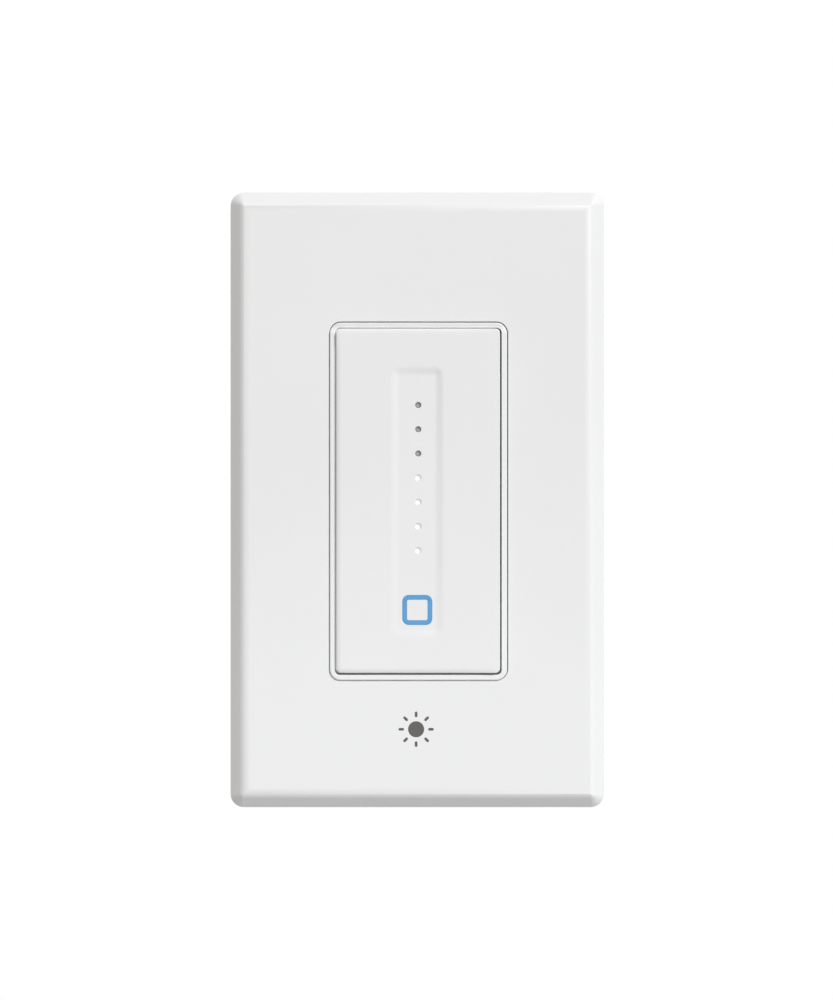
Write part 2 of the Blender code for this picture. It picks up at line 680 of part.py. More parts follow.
def sub_plate():
    """The inner plate, screwed to the strap, whose side edges the wall plate's catches grip."""
    width = PLATE_WIDTH - 2 * (PLATE_WALL + EDGE_GAP)
    height = PLATE_HEIGHT - 2 * (PLATE_WALL + EDGE_GAP)
    outline = rounded_rectangle(width, height, SUB_PLATE_CORNER)
    plate = prism("sub_plate", outline, SUB_PLATE_FRONT, SUB_PLATE_BACK, finish=INNER_PLASTIC)
    inset = SUB_PLATE_RIM_INSET
    rim = rounded_rectangle(width - 2 * inset, height - 2 * inset, SUB_PLATE_CORNER)
    inset = SUB_PLATE_RIM_INSET + SUB_PLATE_RIM
    inside = rounded_rectangle(width - 2 * inset, height - 2 * inset, SUB_PLATE_CORNER)
    join(plate, prism("sub_plate_rim", rim, SUB_PLATE_BACK - SINK, 0.0))
    cut(plate, prism("sub_plate_tray", inside, SUB_PLATE_BACK, OVERCUT))
    opening = rounded_rectangle(OPENING_WIDTH, OPENING_HEIGHT, OPENING_CORNER)
    middle = (SUB_PLATE_FRONT + SUB_PLATE_BACK) / 2
    through = SUB_PLATE_THICK + 2 * OVERCUT
    plate_screws = [(0.0, middle, s * PLATE_SCREW_SPACING / 2) for s in (1, -1)]
    wells = [(0.0, SUB_PLATE_FRONT, z) for _, _, z in plate_screws]
    box_screws = [(0.0, middle, s * BOX_SCREW_SPACING / 2) for s in (1, -1)]
    cut(
        plate,
        prism("sub_plate_opening", opening, SUB_PLATE_FRONT - OVERCUT, OVERCUT),
        rods("plate_screw_holes", plate_screws, SCREW_RADIUS + EDGE_GAP, through),
        rods("screw_head_wells", wells, PLATE_SCREW_HEAD + EDGE_GAP, 2 * HEAD_WELL_DEPTH),
        rods("box_screw_clearance", box_screws, BOX_SCREW_HEAD + EDGE_GAP, through),
    )
    return plate


def bezel_frame():
    """The front frame: the bezel's tube, a bay and floor ledge for the board, hinge ears and hooks."""
    frame = stack(
        "bezel_frame",
        BEZEL_WIDTH,
        BEZEL_HEIGHT,
        BEZEL_CORNER,
        [(FRAME_BACK, 0.0), (BEZEL_FRONT + BEZEL_ROUND, 0.0)]
        + [
            (BEZEL_FRONT + BEZEL_ROUND * (1 - math.sin(a)), BEZEL_ROUND * (1 - math.cos(a)))
            for a in (math.pi / 4, math.pi / 2)
        ],
        finish=BEZEL_PLASTIC,
    )
    bore = rounded_rectangle(BEZEL_INNER_WIDTH, BEZEL_INNER_HEIGHT, BEZEL_CORNER - BEZEL_WALL)
    bay_height = CROSSBAR_BOTTOM - BAY_BOTTOM
    bay_middle = (0.0, (CROSSBAR_BOTTOM + BAY_BOTTOM) / 2)
    bay = rounded_rectangle(BAY_WIDTH, bay_height, BEZEL_WALL, bay_middle)
    floor = rounded_rectangle(
        BAY_WIDTH - 2 * FRAME_LEDGE, bay_height - 2 * FRAME_LEDGE, BEZEL_WALL, bay_middle
    )
    cut(
        frame,
        prism("bezel_bore", bore, BEZEL_FRONT - OVERCUT, BOARD_FRONT),
        prism("board_bay", bay, BEZEL_FRONT - OVERCUT / 2, FLOOR_FRONT),
        prism("frame_floor_opening", floor, BEZEL_FRONT - OVERCUT / 3, OVERCUT),
    )
    for side in (1, -1):
        x = side * HINGE_EAR_X
        ear = box(
            f"hinge_ear_{side:+d}",
            (x - HINGE_EAR_WIDTH / 2, HINGE_Y - HINGE_LUG_RADIUS, HINGE_Z - HINGE_LUG_RADIUS),
            (x + HINGE_EAR_WIDTH / 2, BOARD_FRONT + SINK, HINGE_Z + HINGE_LUG_RADIUS),
        )
        join(frame, ear)
    for i, (x0, x1, z) in enumerate(hook_slots()):
        side = 1 if x1 > 0 else -1
        inner = x0 + side * EDGE_GAP
        outer = x1 - side * EDGE_GAP
        tip = outer + side * HOOK_BARB
        end = SEAT_GAP + HOOK_BARB_HEIGHT
        outline = [
            (inner, FRAME_BACK - SINK),
            (outer, FRAME_BACK - SINK),
            (outer, SEAT_GAP),
            (tip, SEAT_GAP),
            (outer, end),
            (inner, end),
        ]
        join(frame, prism(f"frame_hook_{i}", outline, z - HOOK_LENGTH / 2, z + HOOK_LENGTH / 2, "Z"))
    pin_bore = rod(
        "pin_bore", (0.0, HINGE_Y, HINGE_Z), HINGE_PIN_RADIUS + PIN_GAP, hinge_pin_length() + EDGE_GAP, "X"
    )
    cut(frame, pin_bore)
    return frame


def hinge_pin_length():
    return 2 * HINGE_EAR_X + HINGE_EAR_WIDTH + 2 * SEAT_GAP


def hinge_pin():
    return rod(
        "hinge_pin", (0.0, HINGE_Y, HINGE_Z), HINGE_PIN_RADIUS, hinge_pin_length(), "X", STEEL, sides=16
    )


def channel_cutter():
    """The soft-edged groove: rounded rectangles sinking along an S curve, deepest at the inner edge."""
    width, height = CHANNEL_WIDTH + CHANNEL_SLOPE, CHANNEL_HEIGHT + CHANNEL_SLOPE
    levels = [(PADDLE_FRONT - OVERCUT, 0.0)]
    steps = 6
    for k in range(steps + 1):
        t = k / steps
        levels.append((PADDLE_FRONT + CHANNEL_DEPTH * (1 - math.cos(math.pi * t)) / 2, CHANNEL_SLOPE * t))
    return stack("channel", width, height, CHANNEL_CORNER, levels, (0.0, CHANNEL_Z))


def paddle():
    """The pressed front: a tray with a rounded edge, the channel, the lenses' holes and its fittings."""
    levels = [(SKIRT_END, 0.0), (PADDLE_FRONT + PADDLE_ROUND, 0.0)]
    for k in range(1, ARC_STEPS + 1):
        angle = math.pi / 2 * k / ARC_STEPS
        inset = PADDLE_ROUND * (1 - math.cos(angle))
        levels.append((PADDLE_FRONT + PADDLE_ROUND * (1 - math.sin(angle)), inset))
    body = stack("paddle", PADDLE_WIDTH, PADDLE_HEIGHT, PADDLE_CORNER, levels, finish=WHITE_PLASTIC)
    hollow = rounded_rectangle(
        PADDLE_WIDTH - 2 * PADDLE_SKIRT, PADDLE_HEIGHT - 2 * PADDLE_SKIRT, PADDLE_CORNER / 2
    )
    cut(body, prism("paddle_hollow", hollow, PADDLE_INNER, OVERCUT), channel_cutter())

    guide_top, guide_bottom = guide_ends()
    inner, outer = GUIDE_WIDTH / 2 + EDGE_GAP, GUIDE_WIDTH / 2 + EDGE_GAP + RAIL_THICK
    for side in (1, -1):
        xs = sorted((side * inner, side * outer))
        rail = box(
            f"guide_rail_{side:+d}",
            (xs[0], PADDLE_INNER - SINK, guide_bottom),
            (xs[1], PADDLE_INNER + RAIL_HEIGHT, guide_top),
        )
        spigot = rod(
            f"spring_spigot_{side:+d}",
            (side * SPRING_X, PADDLE_INNER + (SPIGOT_LENGTH - SINK) / 2, SPRING_Z),
            SPIGOT_RADIUS,
            SPIGOT_LENGTH + SINK,
            sides=16,
        )
        x = side * HINGE_LUG_X
        web = box(
            f"lug_web_{side:+d}",
            (x - HINGE_LUG_WIDTH / 2, PADDLE_INNER - SINK, HINGE_Z - HINGE_LUG_RADIUS),
            (x + HINGE_LUG_WIDTH / 2, HINGE_Y, HINGE_Z + HINGE_LUG_RADIUS),
        )
        knuckle = rod(
            f"lug_knuckle_{side:+d}", (x, HINGE_Y, HINGE_Z), HINGE_LUG_RADIUS, HINGE_LUG_WIDTH, "X"
        )
        join(body, rail, spigot, web, knuckle)
    boss_middle = (0.0, (BOSS_TIP + PADDLE_INNER - SINK) / 2, SWITCH_Z)
    join(body, rod("press_boss", boss_middle, BOSS_RADIUS, BOSS_LENGTH + SINK))

    deep = PADDLE_WALL + 2 * OVERCUT
    floor_y = (PADDLE_FRONT + PADDLE_INNER) / 2
    shoulder = CHANNEL_FLOOR + DOT_LIP
    counterbore = PADDLE_INNER + OVERCUT - shoulder
    square = rounded_rectangle(
        SQUARE_WIDTH + 2 * LENS_GAP, SQUARE_WIDTH + 2 * LENS_GAP, SQUARE_CORNER + LENS_GAP, (0.0, SQUARE_Z)
    )
    cut(
        body,
        rods("dot_holes", [(0.0, floor_y, z) for z in DOT_Z], DOT_RADIUS, deep, sides=16),
        rods(
            "dot_counterbores",
            [(0.0, shoulder + counterbore / 2, z) for z in DOT_Z],
            DOT_COUNTERBORE,
            counterbore,
            sides=16,
        ),
        prism("square_hole", square, PADDLE_FRONT - OVERCUT, PADDLE_INNER + OVERCUT),
        rod(
            "lug_bore",
            (0.0, HINGE_Y, HINGE_Z),
            HINGE_PIN_RADIUS + PIN_GAP,
            2 * (HINGE_LUG_X + HINGE_LUG_WIDTH),
            "X",
            sides=16,
        ),
    )
    return body


def guide_ends():
    return DOT_Z[0] + GUIDE_END, DOT_Z[-1] - GUIDE_END


def light_guide():
    """The clear bar behind the dots, with a pin standing in each counterbore."""
    top, bottom = guide_ends()
    front = PADDLE_INNER + SEAT_GAP
    guide = box(
        "light_guide",
        (-GUIDE_WIDTH / 2, front, bottom),
        (GUIDE_WIDTH / 2, front + GUIDE_THICK, top),
        CLEAR_PLASTIC,
    )
    tip = CHANNEL_FLOOR + DOT_LIP + SEAT_GAP
    length = front + SINK - tip
    pins = rods(
        "guide_pins", [(0.0, tip + length / 2, z) for z in DOT_Z], GUIDE_PIN_RADIUS, length, sides=12
    )
    join(guide, pins)
    return guide


def square_lens():
    """The blue ring that shows, on a flange behind the paddle, and the white key inside the ring."""
    flange = SQUARE_WIDTH + 2 * LENS_FLANGE_MARGIN
    front = PADDLE_INNER + SEAT_GAP
    middle = (0.0, SQUARE_Z)
    outline = rounded_rectangle(flange, flange, SQUARE_CORNER, middle)
    lens = prism("ring_lens", outline, front, front + LENS_FLANGE_THICK, finish=BLUE_LENS)
    ring = rounded_rectangle(SQUARE_WIDTH, SQUARE_WIDTH, SQUARE_CORNER, middle)
    inner = SQUARE_WIDTH - 2 * SQUARE_STROKE
    well = rounded_rectangle(inner, inner, SQUARE_INNER_CORNER, middle)
    join(lens, prism("ring_wall", ring, CHANNEL_FLOOR, front + SINK))
    cut(lens, prism("ring_well", well, CHANNEL_FLOOR - OVERCUT, front))
    key = inner - 2 * LENS_GAP
    outline = rounded_rectangle(key, key, SQUARE_INNER_CORNER - LENS_GAP, middle)
    prism("square_key", outline, CHANNEL_FLOOR, front - SEAT_GAP, finish=WHITE_PLASTIC)
    return lens


def control_board():
    """The board in the frame's bay, with the lamps, the press switch, the radio and the header."""
    width = BAY_WIDTH - 2 * EDGE_GAP
    low, high = BAY_BOTTOM + EDGE_GAP, CROSSBAR_BOTTOM - EDGE_GAP
    outline = rounded_rectangle(width, high - low, BEZEL_WALL - EDGE_GAP, (0.0, (low + high) / 2), 2)
    prism("control_board", outline, BOARD_FRONT, BOARD_BACK, finish=BOARD_GREEN)
    seat = BOARD_FRONT - SEAT_GAP
    for i, z in enumerate(DOT_Z, start=1):
        box(
            f"level_led_{i}",
            (-LED_WIDTH / 2, seat - LED_HEIGHT, z - LED_LENGTH / 2),
            (LED_WIDTH / 2, seat, z + LED_LENGTH / 2),
            CLEAR_PLASTIC,
        )
    half = RING_LED_WIDTH / 2
    box(
        "ring_led",
        (-half, seat - RING_LED_HEIGHT, SQUARE_Z - half),
        (half, seat, SQUARE_Z + half),
        CLEAR_PLASTIC,
    )
    press_switch()
    radio_module(seat)
    board_header()


def press_switch():
    half = SWITCH_WIDTH / 2
    case = stack(
        "press_switch",
        SWITCH_WIDTH,
        SWITCH_WIDTH,
        SWITCH_WIDTH / 10,
        [(SWITCH_BACK, 0.0), (SWITCH_FRONT, 0.0)],
        (0.0, SWITCH_Z),
        BLACK_PART,
    )
    floor = SWITCH_BACK - SWITCH_FLOOR
    length = floor - SWITCH_FRONT + half
    bore = rod(
        "switch_bore", (0.0, floor - length / 2, SWITCH_Z), PLUNGER_RADIUS + EDGE_GAP, length
    )
    cut(case, bore)
    plunger = rod(
        "press_plunger",
        (0.0, PLUNGER_TIP + PLUNGER_LENGTH / 2, SWITCH_Z),
        PLUNGER_RADIUS,
        PLUNGER_LENGTH,
        finish=INNER_PLASTIC,
    )
    return case, plunger


def radio_module(seat):
    """A small board with a shield can over most of it, the rest being its aerial."""
    board_front = seat - RADIO_BOARD
    low_z, high_z = RADIO_Z - RADIO_LENGTH / 2, RADIO_Z + RADIO_LENGTH / 2
    module = box(
        "radio_module",
        (RADIO_X - RADIO_WIDTH / 2, board_front, low_z),
        (RADIO_X + RADIO_WIDTH / 2, seat, high_z),
        STEEL,
    )
    can = stack(
        "radio_can",
        RADIO_WIDTH - 2 * RADIO_CAN_MARGIN,
        RADIO_CAN_LENGTH,
        RADIO_CAN_MARGIN,
        [(board_front + SINK, 0.0), (board_front - RADIO_CAN_HEIGHT, 0.0)],
        (RADIO_X, low_z + RADIO_CAN_MARGIN + RADIO_CAN_LENGTH / 2),
    )
    join(module, can)
    return module


def board_header():
    """The plug block that joins the two boards through the strap's window."""
    return stack(
        "board_header",
        HEADER_WIDTH,
        HEADER_LENGTH,
        HEADER_LENGTH / 10,
        [(BOARD_BACK + SEAT_GAP, 0.0), (POWER_BOARD_Y - SEAT_GAP, 0.0)],
        (0.0, HEADER_Z),
        BLACK_PART,
    )


def return_springs():
    """Two coil springs that push the paddle's foot out, each on its own spigot."""
    back = BOARD_FRONT - SEAT_GAP - SPRING_WIRE
    front = PADDLE_INNER + SEAT_GAP + SPRING_WIRE
    count = int(SPRING_TURNS * 10)
    for side, name in ((1, "right"), (-1, "left")):
        curve = bpy.data.curves.new("return_spring_" + name, "CURVE")
        curve.dimensions = "3D"
        curve.bevel_depth = SPRING_WIRE
        curve.bevel_resolution = 1
        curve.use_fill_caps = True
        line = curve.splines.new("POLY")
        line.points.add(count)
        for k, point in enumerate(line.points):
            angle = CIRCLE * SPRING_TURNS * k / count
            x = side * SPRING_X + SPRING_RADIUS * math.cos(angle)
            z = SPRING_Z + SPRING_RADIUS * math.sin(angle)
            point.co = (x, back + (front - back) * k / count, z, 1.0)
        curve.materials.append(STEEL)
        PARTS.objects.link(bpy.data.objects.new("return_spring_" + name, curve))


def rear_housing():
    """The box behind the strap: wall, screw bosses, board ribs, terminal pockets and vents."""
    housing = stack(
        "rear_housing",
        HOUSING_WIDTH,
        HOUSING_HEIGHT,
        HOUSING_CORNER,
        [(HOUSING_FRONT, 0.0), (HOUSING_BACK - HOUSING_CHAMFER, 0.0), (HOUSING_BACK, HOUSING_CHAMFER)],
        finish=HOUSING_PLASTIC,
    )
    cavity = rounded_rectangle(CAVITY_WIDTH, CAVITY_HEIGHT, HOUSING_CORNER - HOUSING_WALL)
    cut(housing, prism("housing_cavity", cavity, HOUSING_FRONT - OVERCUT, HOUSING_CEILING))

    corners = [(sx, sz) for sx in (1, -1) for sz in (1, -1)]
    wall_x, wall_z = CAVITY_WIDTH / 2 + SINK, CAVITY_HEIGHT / 2 + SINK
    for i, (sx, sz) in enumerate(corners):
        inner_x, inner_z = BOSS_X - CORNER_BOSS / 2, BOSS_Z - CORNER_BOSS / 2
        xs, zs = sorted((sx * inner_x, sx * wall_x)), sorted((sz * inner_z, sz * wall_z))
        join(
            housing,
            box(f"corner_boss_{i}", (xs[0], HOUSING_FRONT, zs[0]), (xs[1], HOUSING_CEILING + SINK, zs[1])),
        )
    for side in (1, -1):
        xs = sorted((side * (CAVITY_WIDTH / 2 - RIB_REACH), side * wall_x))
        join(
            housing,
            box(
                f"board_rib_{side:+d}",
                (xs[0], PARTS_Y, -RIB_LENGTH / 2),
                (xs[1], PARTS_Y + RIB_HEIGHT, RIB_LENGTH / 2),
            ),
        )
    floor_x = HOUSING_WIDTH / 2 - POCKET_DEPTH
    for name, (side, z) in TERMINALS.items():
        block = sorted((side * (floor_x - POCKET_WALL), side * wall_x))
        join(
            housing,
            box(
                "pocket_block_" + name,
                (block[0], POCKET_FRONT - POCKET_WALL, z - POCKET_WIDTH / 2 - POCKET_WALL),
                (block[1], HOUSING_CEILING + SINK, z + POCKET_WIDTH / 2 + POCKET_WALL),
            ),
        )
    for name, (side, z) in TERMINALS.items():
        pocket = sorted((side * floor_x, side * (HOUSING_WIDTH / 2 + OVERCUT)))
        cut(
            housing,
            box(
                "pocket_" + name,
                (pocket[0], POCKET_FRONT, z - POCKET_WIDTH / 2),
                (pocket[1], HOUSING_BACK + OVERCUT, z + POCKET_WIDTH / 2),
            ),
            rod(
                "terminal_bore_" + name,
                (side * floor_x, TERMINAL_Y, z),
                SCREW_RADIUS + PIN_GAP,
                4 * POCKET_WALL,
                "X",
            ),
        )
    well_floor = HOUSING_FRONT + CORNER_BOSS_SOLID
    well = HOUSING_BACK + OVERCUT - well_floor
    wells = [(sx * BOSS_X, well_floor + well / 2, sz * BOSS_Z) for sx, sz in corners]
    holes = [(x, well_floor / 2, z) for x, _, z in wells]
    vents = [
        box(
            f"vent_{i}",
            (-VENT_LENGTH / 2, HOUSING_CEILING - OVERCUT, z - VENT_WIDTH / 2),
            (VENT_LENGTH / 2, HOUSING_BACK + OVERCUT, z + VENT_WIDTH / 2),
        )
        for i, z in enumerate((VENT_PITCH * (k - (VENT_COUNT - 1) / 2) for k in range(VENT_COUNT)))
    ]
    cut(
        housing,
        rods("housing_wells", wells, HOUSING_SCREW_HEAD + EDGE_GAP, well),
        rods("housing_bores", holes, HOUSING_SCREW_RADIUS + PIN_GAP, 2 * CORNER_BOSS_SOLID),
        *vents,
    )
    seat = well_floor + SEAT_GAP
    for i, (sx, sz) in enumerate(corners, start=1):
        pan_screw(
            f"housing_screw_{i}",
            (sx * BOSS_X, seat, sz * BOSS_Z),
            "+Y",
            HOUSING_SCREW_RADIUS,
            seat - STRAP_FRONT,
            HOUSING_SCREW_HEAD,
            HOUSING_SCREW_HEAD_HEIGHT,
            STEEL,
        )
    return housing


def terminals():
    """A brass plate and a binding screw in each pocket, and the green screw on the strap's tab."""
    floor_x = HOUSING_WIDTH / 2 - POCKET_DEPTH
    half = TERMINAL_PLATE_WIDTH / 2
    for name, (side, z) in TERMINALS.items():
        near = floor_x + SEAT_GAP
        xs = sorted((side * near, side * (near + TERMINAL_PLATE_THICK)))
        plate = box(
            "terminal_plate_" + name,
            (xs[0], TERMINAL_Y - half, z - half),
            (xs[1], TERMINAL_Y + half, z + half),
            BRASS,
        )
        bore = rod(
            "terminal_plate_bore_" + name, (side * near, TERMINAL_Y, z), SCREW_RADIUS + PIN_GAP, half, "X"
        )
        cut(plate, bore)
        seat = near + TERMINAL_PLATE_THICK + SEAT_GAP
        pan_screw(
            "terminal_screw_" + name,
            (side * seat, TERMINAL_Y, z),
            "+X" if side > 0 else "-X",
            SCREW_RADIUS,
            TERMINAL_SCREW_LENGTH,
            TERMINAL_SCREW_HEAD,
            TERMINAL_SCREW_HEAD_HEIGHT,
            BRASS if name == "line" else STEEL,
        )
    pan_screw(
        "ground_screw",
        (GROUND_TAB_X, GROUND_TAB_LENGTH / 2, -STRAP_BODY_HEIGHT / 2 - SEAT_GAP),
        "-Z",
        SCREW_RADIUS,
        TERMINAL_SCREW_LENGTH - SEAT_GAP,
        TERMINAL_SCREW_HEAD,
        TERMINAL_SCREW_HEAD_HEIGHT,
        GREEN_SCREW,
    )


def power_board():
    """The board behind the strap, notched round the housing's corner bosses."""
    w, h = CAVITY_WIDTH / 2 - EDGE_GAP, CAVITY_HEIGHT / 2 - EDGE_GAP
    nx, nz = BOSS_X - CORNER_BOSS / 2 - EDGE_GAP, BOSS_Z - CORNER_BOSS / 2 - EDGE_GAP
    quarter = [(w, nz, 0.0), (nx, nz, 0.0), (nx, h, 0.0)]
    right = [(x, -z, r) for x, z, r in reversed(quarter)] + quarter
    left = [(-x, z, r) for x, z, r in reversed(right)]
    outline = rounded_outline(right + left)
    prism("power_board", outline, POWER_BOARD_Y, POWER_BOARD_BACK, finish=BOARD_GREEN)


def insulation():
    """A sheet that keeps the strap and the power parts apart, with a heat pad in its window."""
    low, high = SEAT_GAP, SEAT_GAP + INSULATOR_THICK
    outline = rounded_rectangle(INSULATOR_WIDTH, INSULATOR_HEIGHT, STRAP_CORNER)
    sheet = prism("insulator_sheet", outline, low, high, finish=FIBRE)
    pad_x = TRANSISTOR_X + TRANSISTOR_WIDTH / 2
    top, bottom = transistor_ends()
    window = box(
        "pad_window",
        (-pad_x - 2 * EDGE_GAP, low - OVERCUT, bottom - EDGE_GAP),
        (pad_x + 2 * EDGE_GAP, high + OVERCUT, top + EDGE_GAP),
    )
    header = box(
        "sheet_header_window",
        (-HEADER_WIDTH / 2 - EDGE_GAP, low - OVERCUT, HEADER_Z - HEADER_LENGTH / 2 - EDGE_GAP),
        (HEADER_WIDTH / 2 + EDGE_GAP, high + OVERCUT, HEADER_Z + HEADER_LENGTH / 2 + EDGE_GAP),
    )
    cut(sheet, window, header)
    edge = pad_x + EDGE_GAP
    box("thermal_pad", (-edge, SEAT_GAP, bottom), (edge, SEAT_GAP + PAD_THICK, top), PAD_GREY)


def transistor_ends():
    """Top of the metal tab and bottom of the moulded body, in z."""
    half = (TRANSISTOR_BODY + TRANSISTOR_TAB) / 2
    return TRANSISTOR_Z + half, TRANSISTOR_Z - half


def transistors():
    """Two power transistors flat on the heat pad, their legs bent back to the power board."""
    top, bottom = transistor_ends()
    back = 2 * SEAT_GAP + PAD_THICK
    legs_y = back + TRANSISTOR_THICK - TRANSISTOR_TAB_THICK
    for side, name in ((1, "right"), (-1, "left")):
        x = side * TRANSISTOR_X
        half = TRANSISTOR_WIDTH / 2
        piece = box(
            "power_transistor_" + name,
            (x - half, back, bottom),
            (x + half, back + TRANSISTOR_THICK, bottom + TRANSISTOR_BODY),
            BLACK_PART,
        )
        tab = box(
            "transistor_tab_" + name,
            (x - half, back, bottom + TRANSISTOR_BODY - SINK),
            (x + half, back + TRANSISTOR_TAB_THICK, top),
        )
        join(piece, tab)
        for k in (-1, 0, 1):
            leg_x = x + k * LEG_PITCH
            outline = [
                (legs_y - LEG_THICK, bottom + SINK),
                (legs_y - LEG_THICK, bottom - LEG_DROP),
                (POWER_BOARD_Y - SEAT_GAP, bottom - LEG_DROP),
                (POWER_BOARD_Y - SEAT_GAP, bottom - LEG_DROP + LEG_THICK),
                (legs_y, bottom - LEG_DROP + LEG_THICK),
                (legs_y, bottom + SINK),
            ]
            leg = prism(
                f"leg_{name}_{k:+d}", outline, leg_x - LEG_WIDTH / 2, leg_x + LEG_WIDTH / 2, "X"
            )
            join(piece, leg)
        hole_z = top - TRANSISTOR_TAB / 2
        cut(piece, rod("tab_hole_" + name, (x, back, hole_z), TRANSISTOR_HOLE, TRANSISTOR_THICK))


def choke_coil():
    """A wound ring: a torus whose section swells at each turn of the wire."""
    around = CHOKE_TURNS * 4
    section = 8
    shape = bmesh.new()
    rings = []
    for i in range(around):
        angle = CIRCLE * i / around
        swell = CHOKE_SECTION + CHOKE_WIRE * math.cos(CHOKE_TURNS * angle)
        ring = []
        for j in range(section):
            turn = CIRCLE * j / section
            reach = CHOKE_RADIUS + swell * math.cos(turn)
            middle_y = PARTS_Y + CHOKE_SECTION + CHOKE_WIRE
            x = CHOKE_AT[0] + reach * math.cos(angle)
            z = CHOKE_AT[1] + reach * math.sin(angle)
            ring.append(shape.verts.new((x, middle_y + swell * math.sin(turn), z)))
        rings.append(ring)
    for i in range(around):
        a, b = rings[i], rings[(i + 1) % around]
        for j in range(section):
            k = (j + 1) % section
            shape.faces.new((a[j], a[k], b[k], b[j]))
    return from_bmesh("choke_coil", shape, COPPER)


def power_parts():
    """The pieces that stand on the back of the power board."""
    r, h = CAPACITOR_RADIUS, CAPACITOR_HEIGHT
    groove = r / 12
    turned(
        "storage_capacitor",
        [(0.0, h), (r - groove, h), (r, h - groove), (r, 2 * r / 5), (r - groove, r / 3), (r, r / 4)]
        + [(r, 0.0), (0.0, 0.0)],
        (CAPACITOR_AT[0], PARTS_Y, CAPACITOR_AT[1]),
        "+Y",
        BLACK_PART,
    )
    turned(
        "fuse",
        [(0.0, FUSE_HEIGHT), (FUSE_RADIUS - groove, FUSE_HEIGHT), (FUSE_RADIUS, FUSE_HEIGHT - groove)]
        + [(FUSE_RADIUS, 0.0), (0.0, 0.0)],
        (FUSE_AT[0], PARTS_Y, FUSE_AT[1]),
        "+Y",
        BLACK_PART,
    )
    rod(
        "surge_disc",
        (SURGE_AT[0], PARTS_Y + SURGE_RADIUS, SURGE_AT[1]),
        SURGE_RADIUS,
        SURGE_THICK,
        "Z",
        DISC_BLUE,
    )
    for name, at, size, finish in (
        ("supply_transformer", TRANSFORMER_AT, TRANSFORMER_SIZE, FILM_YELLOW),
        ("film_capacitor", FILM_AT, FILM_SIZE, FILM_YELLOW),
    ):
        width, depth, height = size
        bevel = height / 20
        stack(
            name,
            width,
            height,
            2 * bevel,
            [(PARTS_Y, 0.0), (PARTS_Y + depth - bevel, 0.0), (PARTS_Y + depth, bevel)],
            at,
            finish,
        )
    choke_coil()


def carry(name, at, pieces):
    """An empty on a joint's axis, with the pieces that move about it."""
    empty = bpy.data.objects.new(name, None)
    empty.empty_display_size = HINGE_INSET
    empty.location = at
    PARTS.objects.link(empty)
    bpy.context.view_layer.update()
    for piece in pieces:
        world = piece.matrix_world.copy()
        piece.parent = empty
        piece.matrix_parent_inverse = empty.matrix_world.inverted()
        piece.matrix_world = world


def build():
    mounting_strap()
    strap_screws()
    wall_plate()
    sub_plate()
    bezel_frame()
    hinge_pin()
    paddle()
    light_guide()
    square_lens()
    control_board()
    return_springs()
    rear_housing()
    terminals()
    insulation()
    transistors()
    power_board()
    power_parts()
    named = bpy.data.objects
    carry(
        "paddle_hinge_axis",
        (0.0, HINGE_Y, HINGE_Z),
        [named[n] for n in ("paddle", "light_guide", "ring_lens", "square_key")],
    )
    carry("plunger_axis", (0.0, PLUNGER_TIP, SWITCH_Z), [named["press_plunger"]])


build()
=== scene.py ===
# %% [markdown]
# # Dressing a smart dimmer switch
#
# The switch has already been drawn as plain solids: a cover plate, a paddle, the boards and the box
# behind them, each at its real place and in metres. This script loads those solids as a fixed frame
# and gives them the looks of the real thing: soft moulded edges, lit lamps, threads on the screws
# and a finish for every surface. The wall is the plane y = 0, the switch faces -Y, and Z is up.

import json
import math

import bmesh
import bpy
import numpy as np
from mathutils import Matrix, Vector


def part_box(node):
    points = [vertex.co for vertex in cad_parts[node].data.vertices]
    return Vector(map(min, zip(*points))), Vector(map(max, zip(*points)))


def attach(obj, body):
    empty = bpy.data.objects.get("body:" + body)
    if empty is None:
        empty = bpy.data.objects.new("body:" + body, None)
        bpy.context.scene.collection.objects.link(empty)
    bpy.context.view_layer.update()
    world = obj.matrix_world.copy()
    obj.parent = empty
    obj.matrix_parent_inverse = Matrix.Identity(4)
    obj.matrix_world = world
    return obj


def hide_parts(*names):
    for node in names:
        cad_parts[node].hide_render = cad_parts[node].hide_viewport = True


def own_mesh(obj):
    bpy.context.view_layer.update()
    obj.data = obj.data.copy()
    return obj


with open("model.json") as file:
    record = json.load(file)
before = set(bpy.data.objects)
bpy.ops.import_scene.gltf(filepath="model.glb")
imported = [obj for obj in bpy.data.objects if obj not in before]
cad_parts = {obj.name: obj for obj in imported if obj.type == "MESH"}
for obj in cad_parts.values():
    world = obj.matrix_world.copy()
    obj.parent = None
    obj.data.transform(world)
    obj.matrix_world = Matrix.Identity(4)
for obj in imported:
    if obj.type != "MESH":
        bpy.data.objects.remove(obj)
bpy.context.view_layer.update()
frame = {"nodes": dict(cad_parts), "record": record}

# %% [markdown]
# ## Sizes
#
# All sizes below are in millimetres, because that is how a maker reads a moulding drawing. They are
# turned to metres once, when a piece becomes a mesh. Depths are places along Y: the wall is 0 and
# what comes into the room is negative, so the paddle's face at -7.95 stands 7.95 mm off the wall.

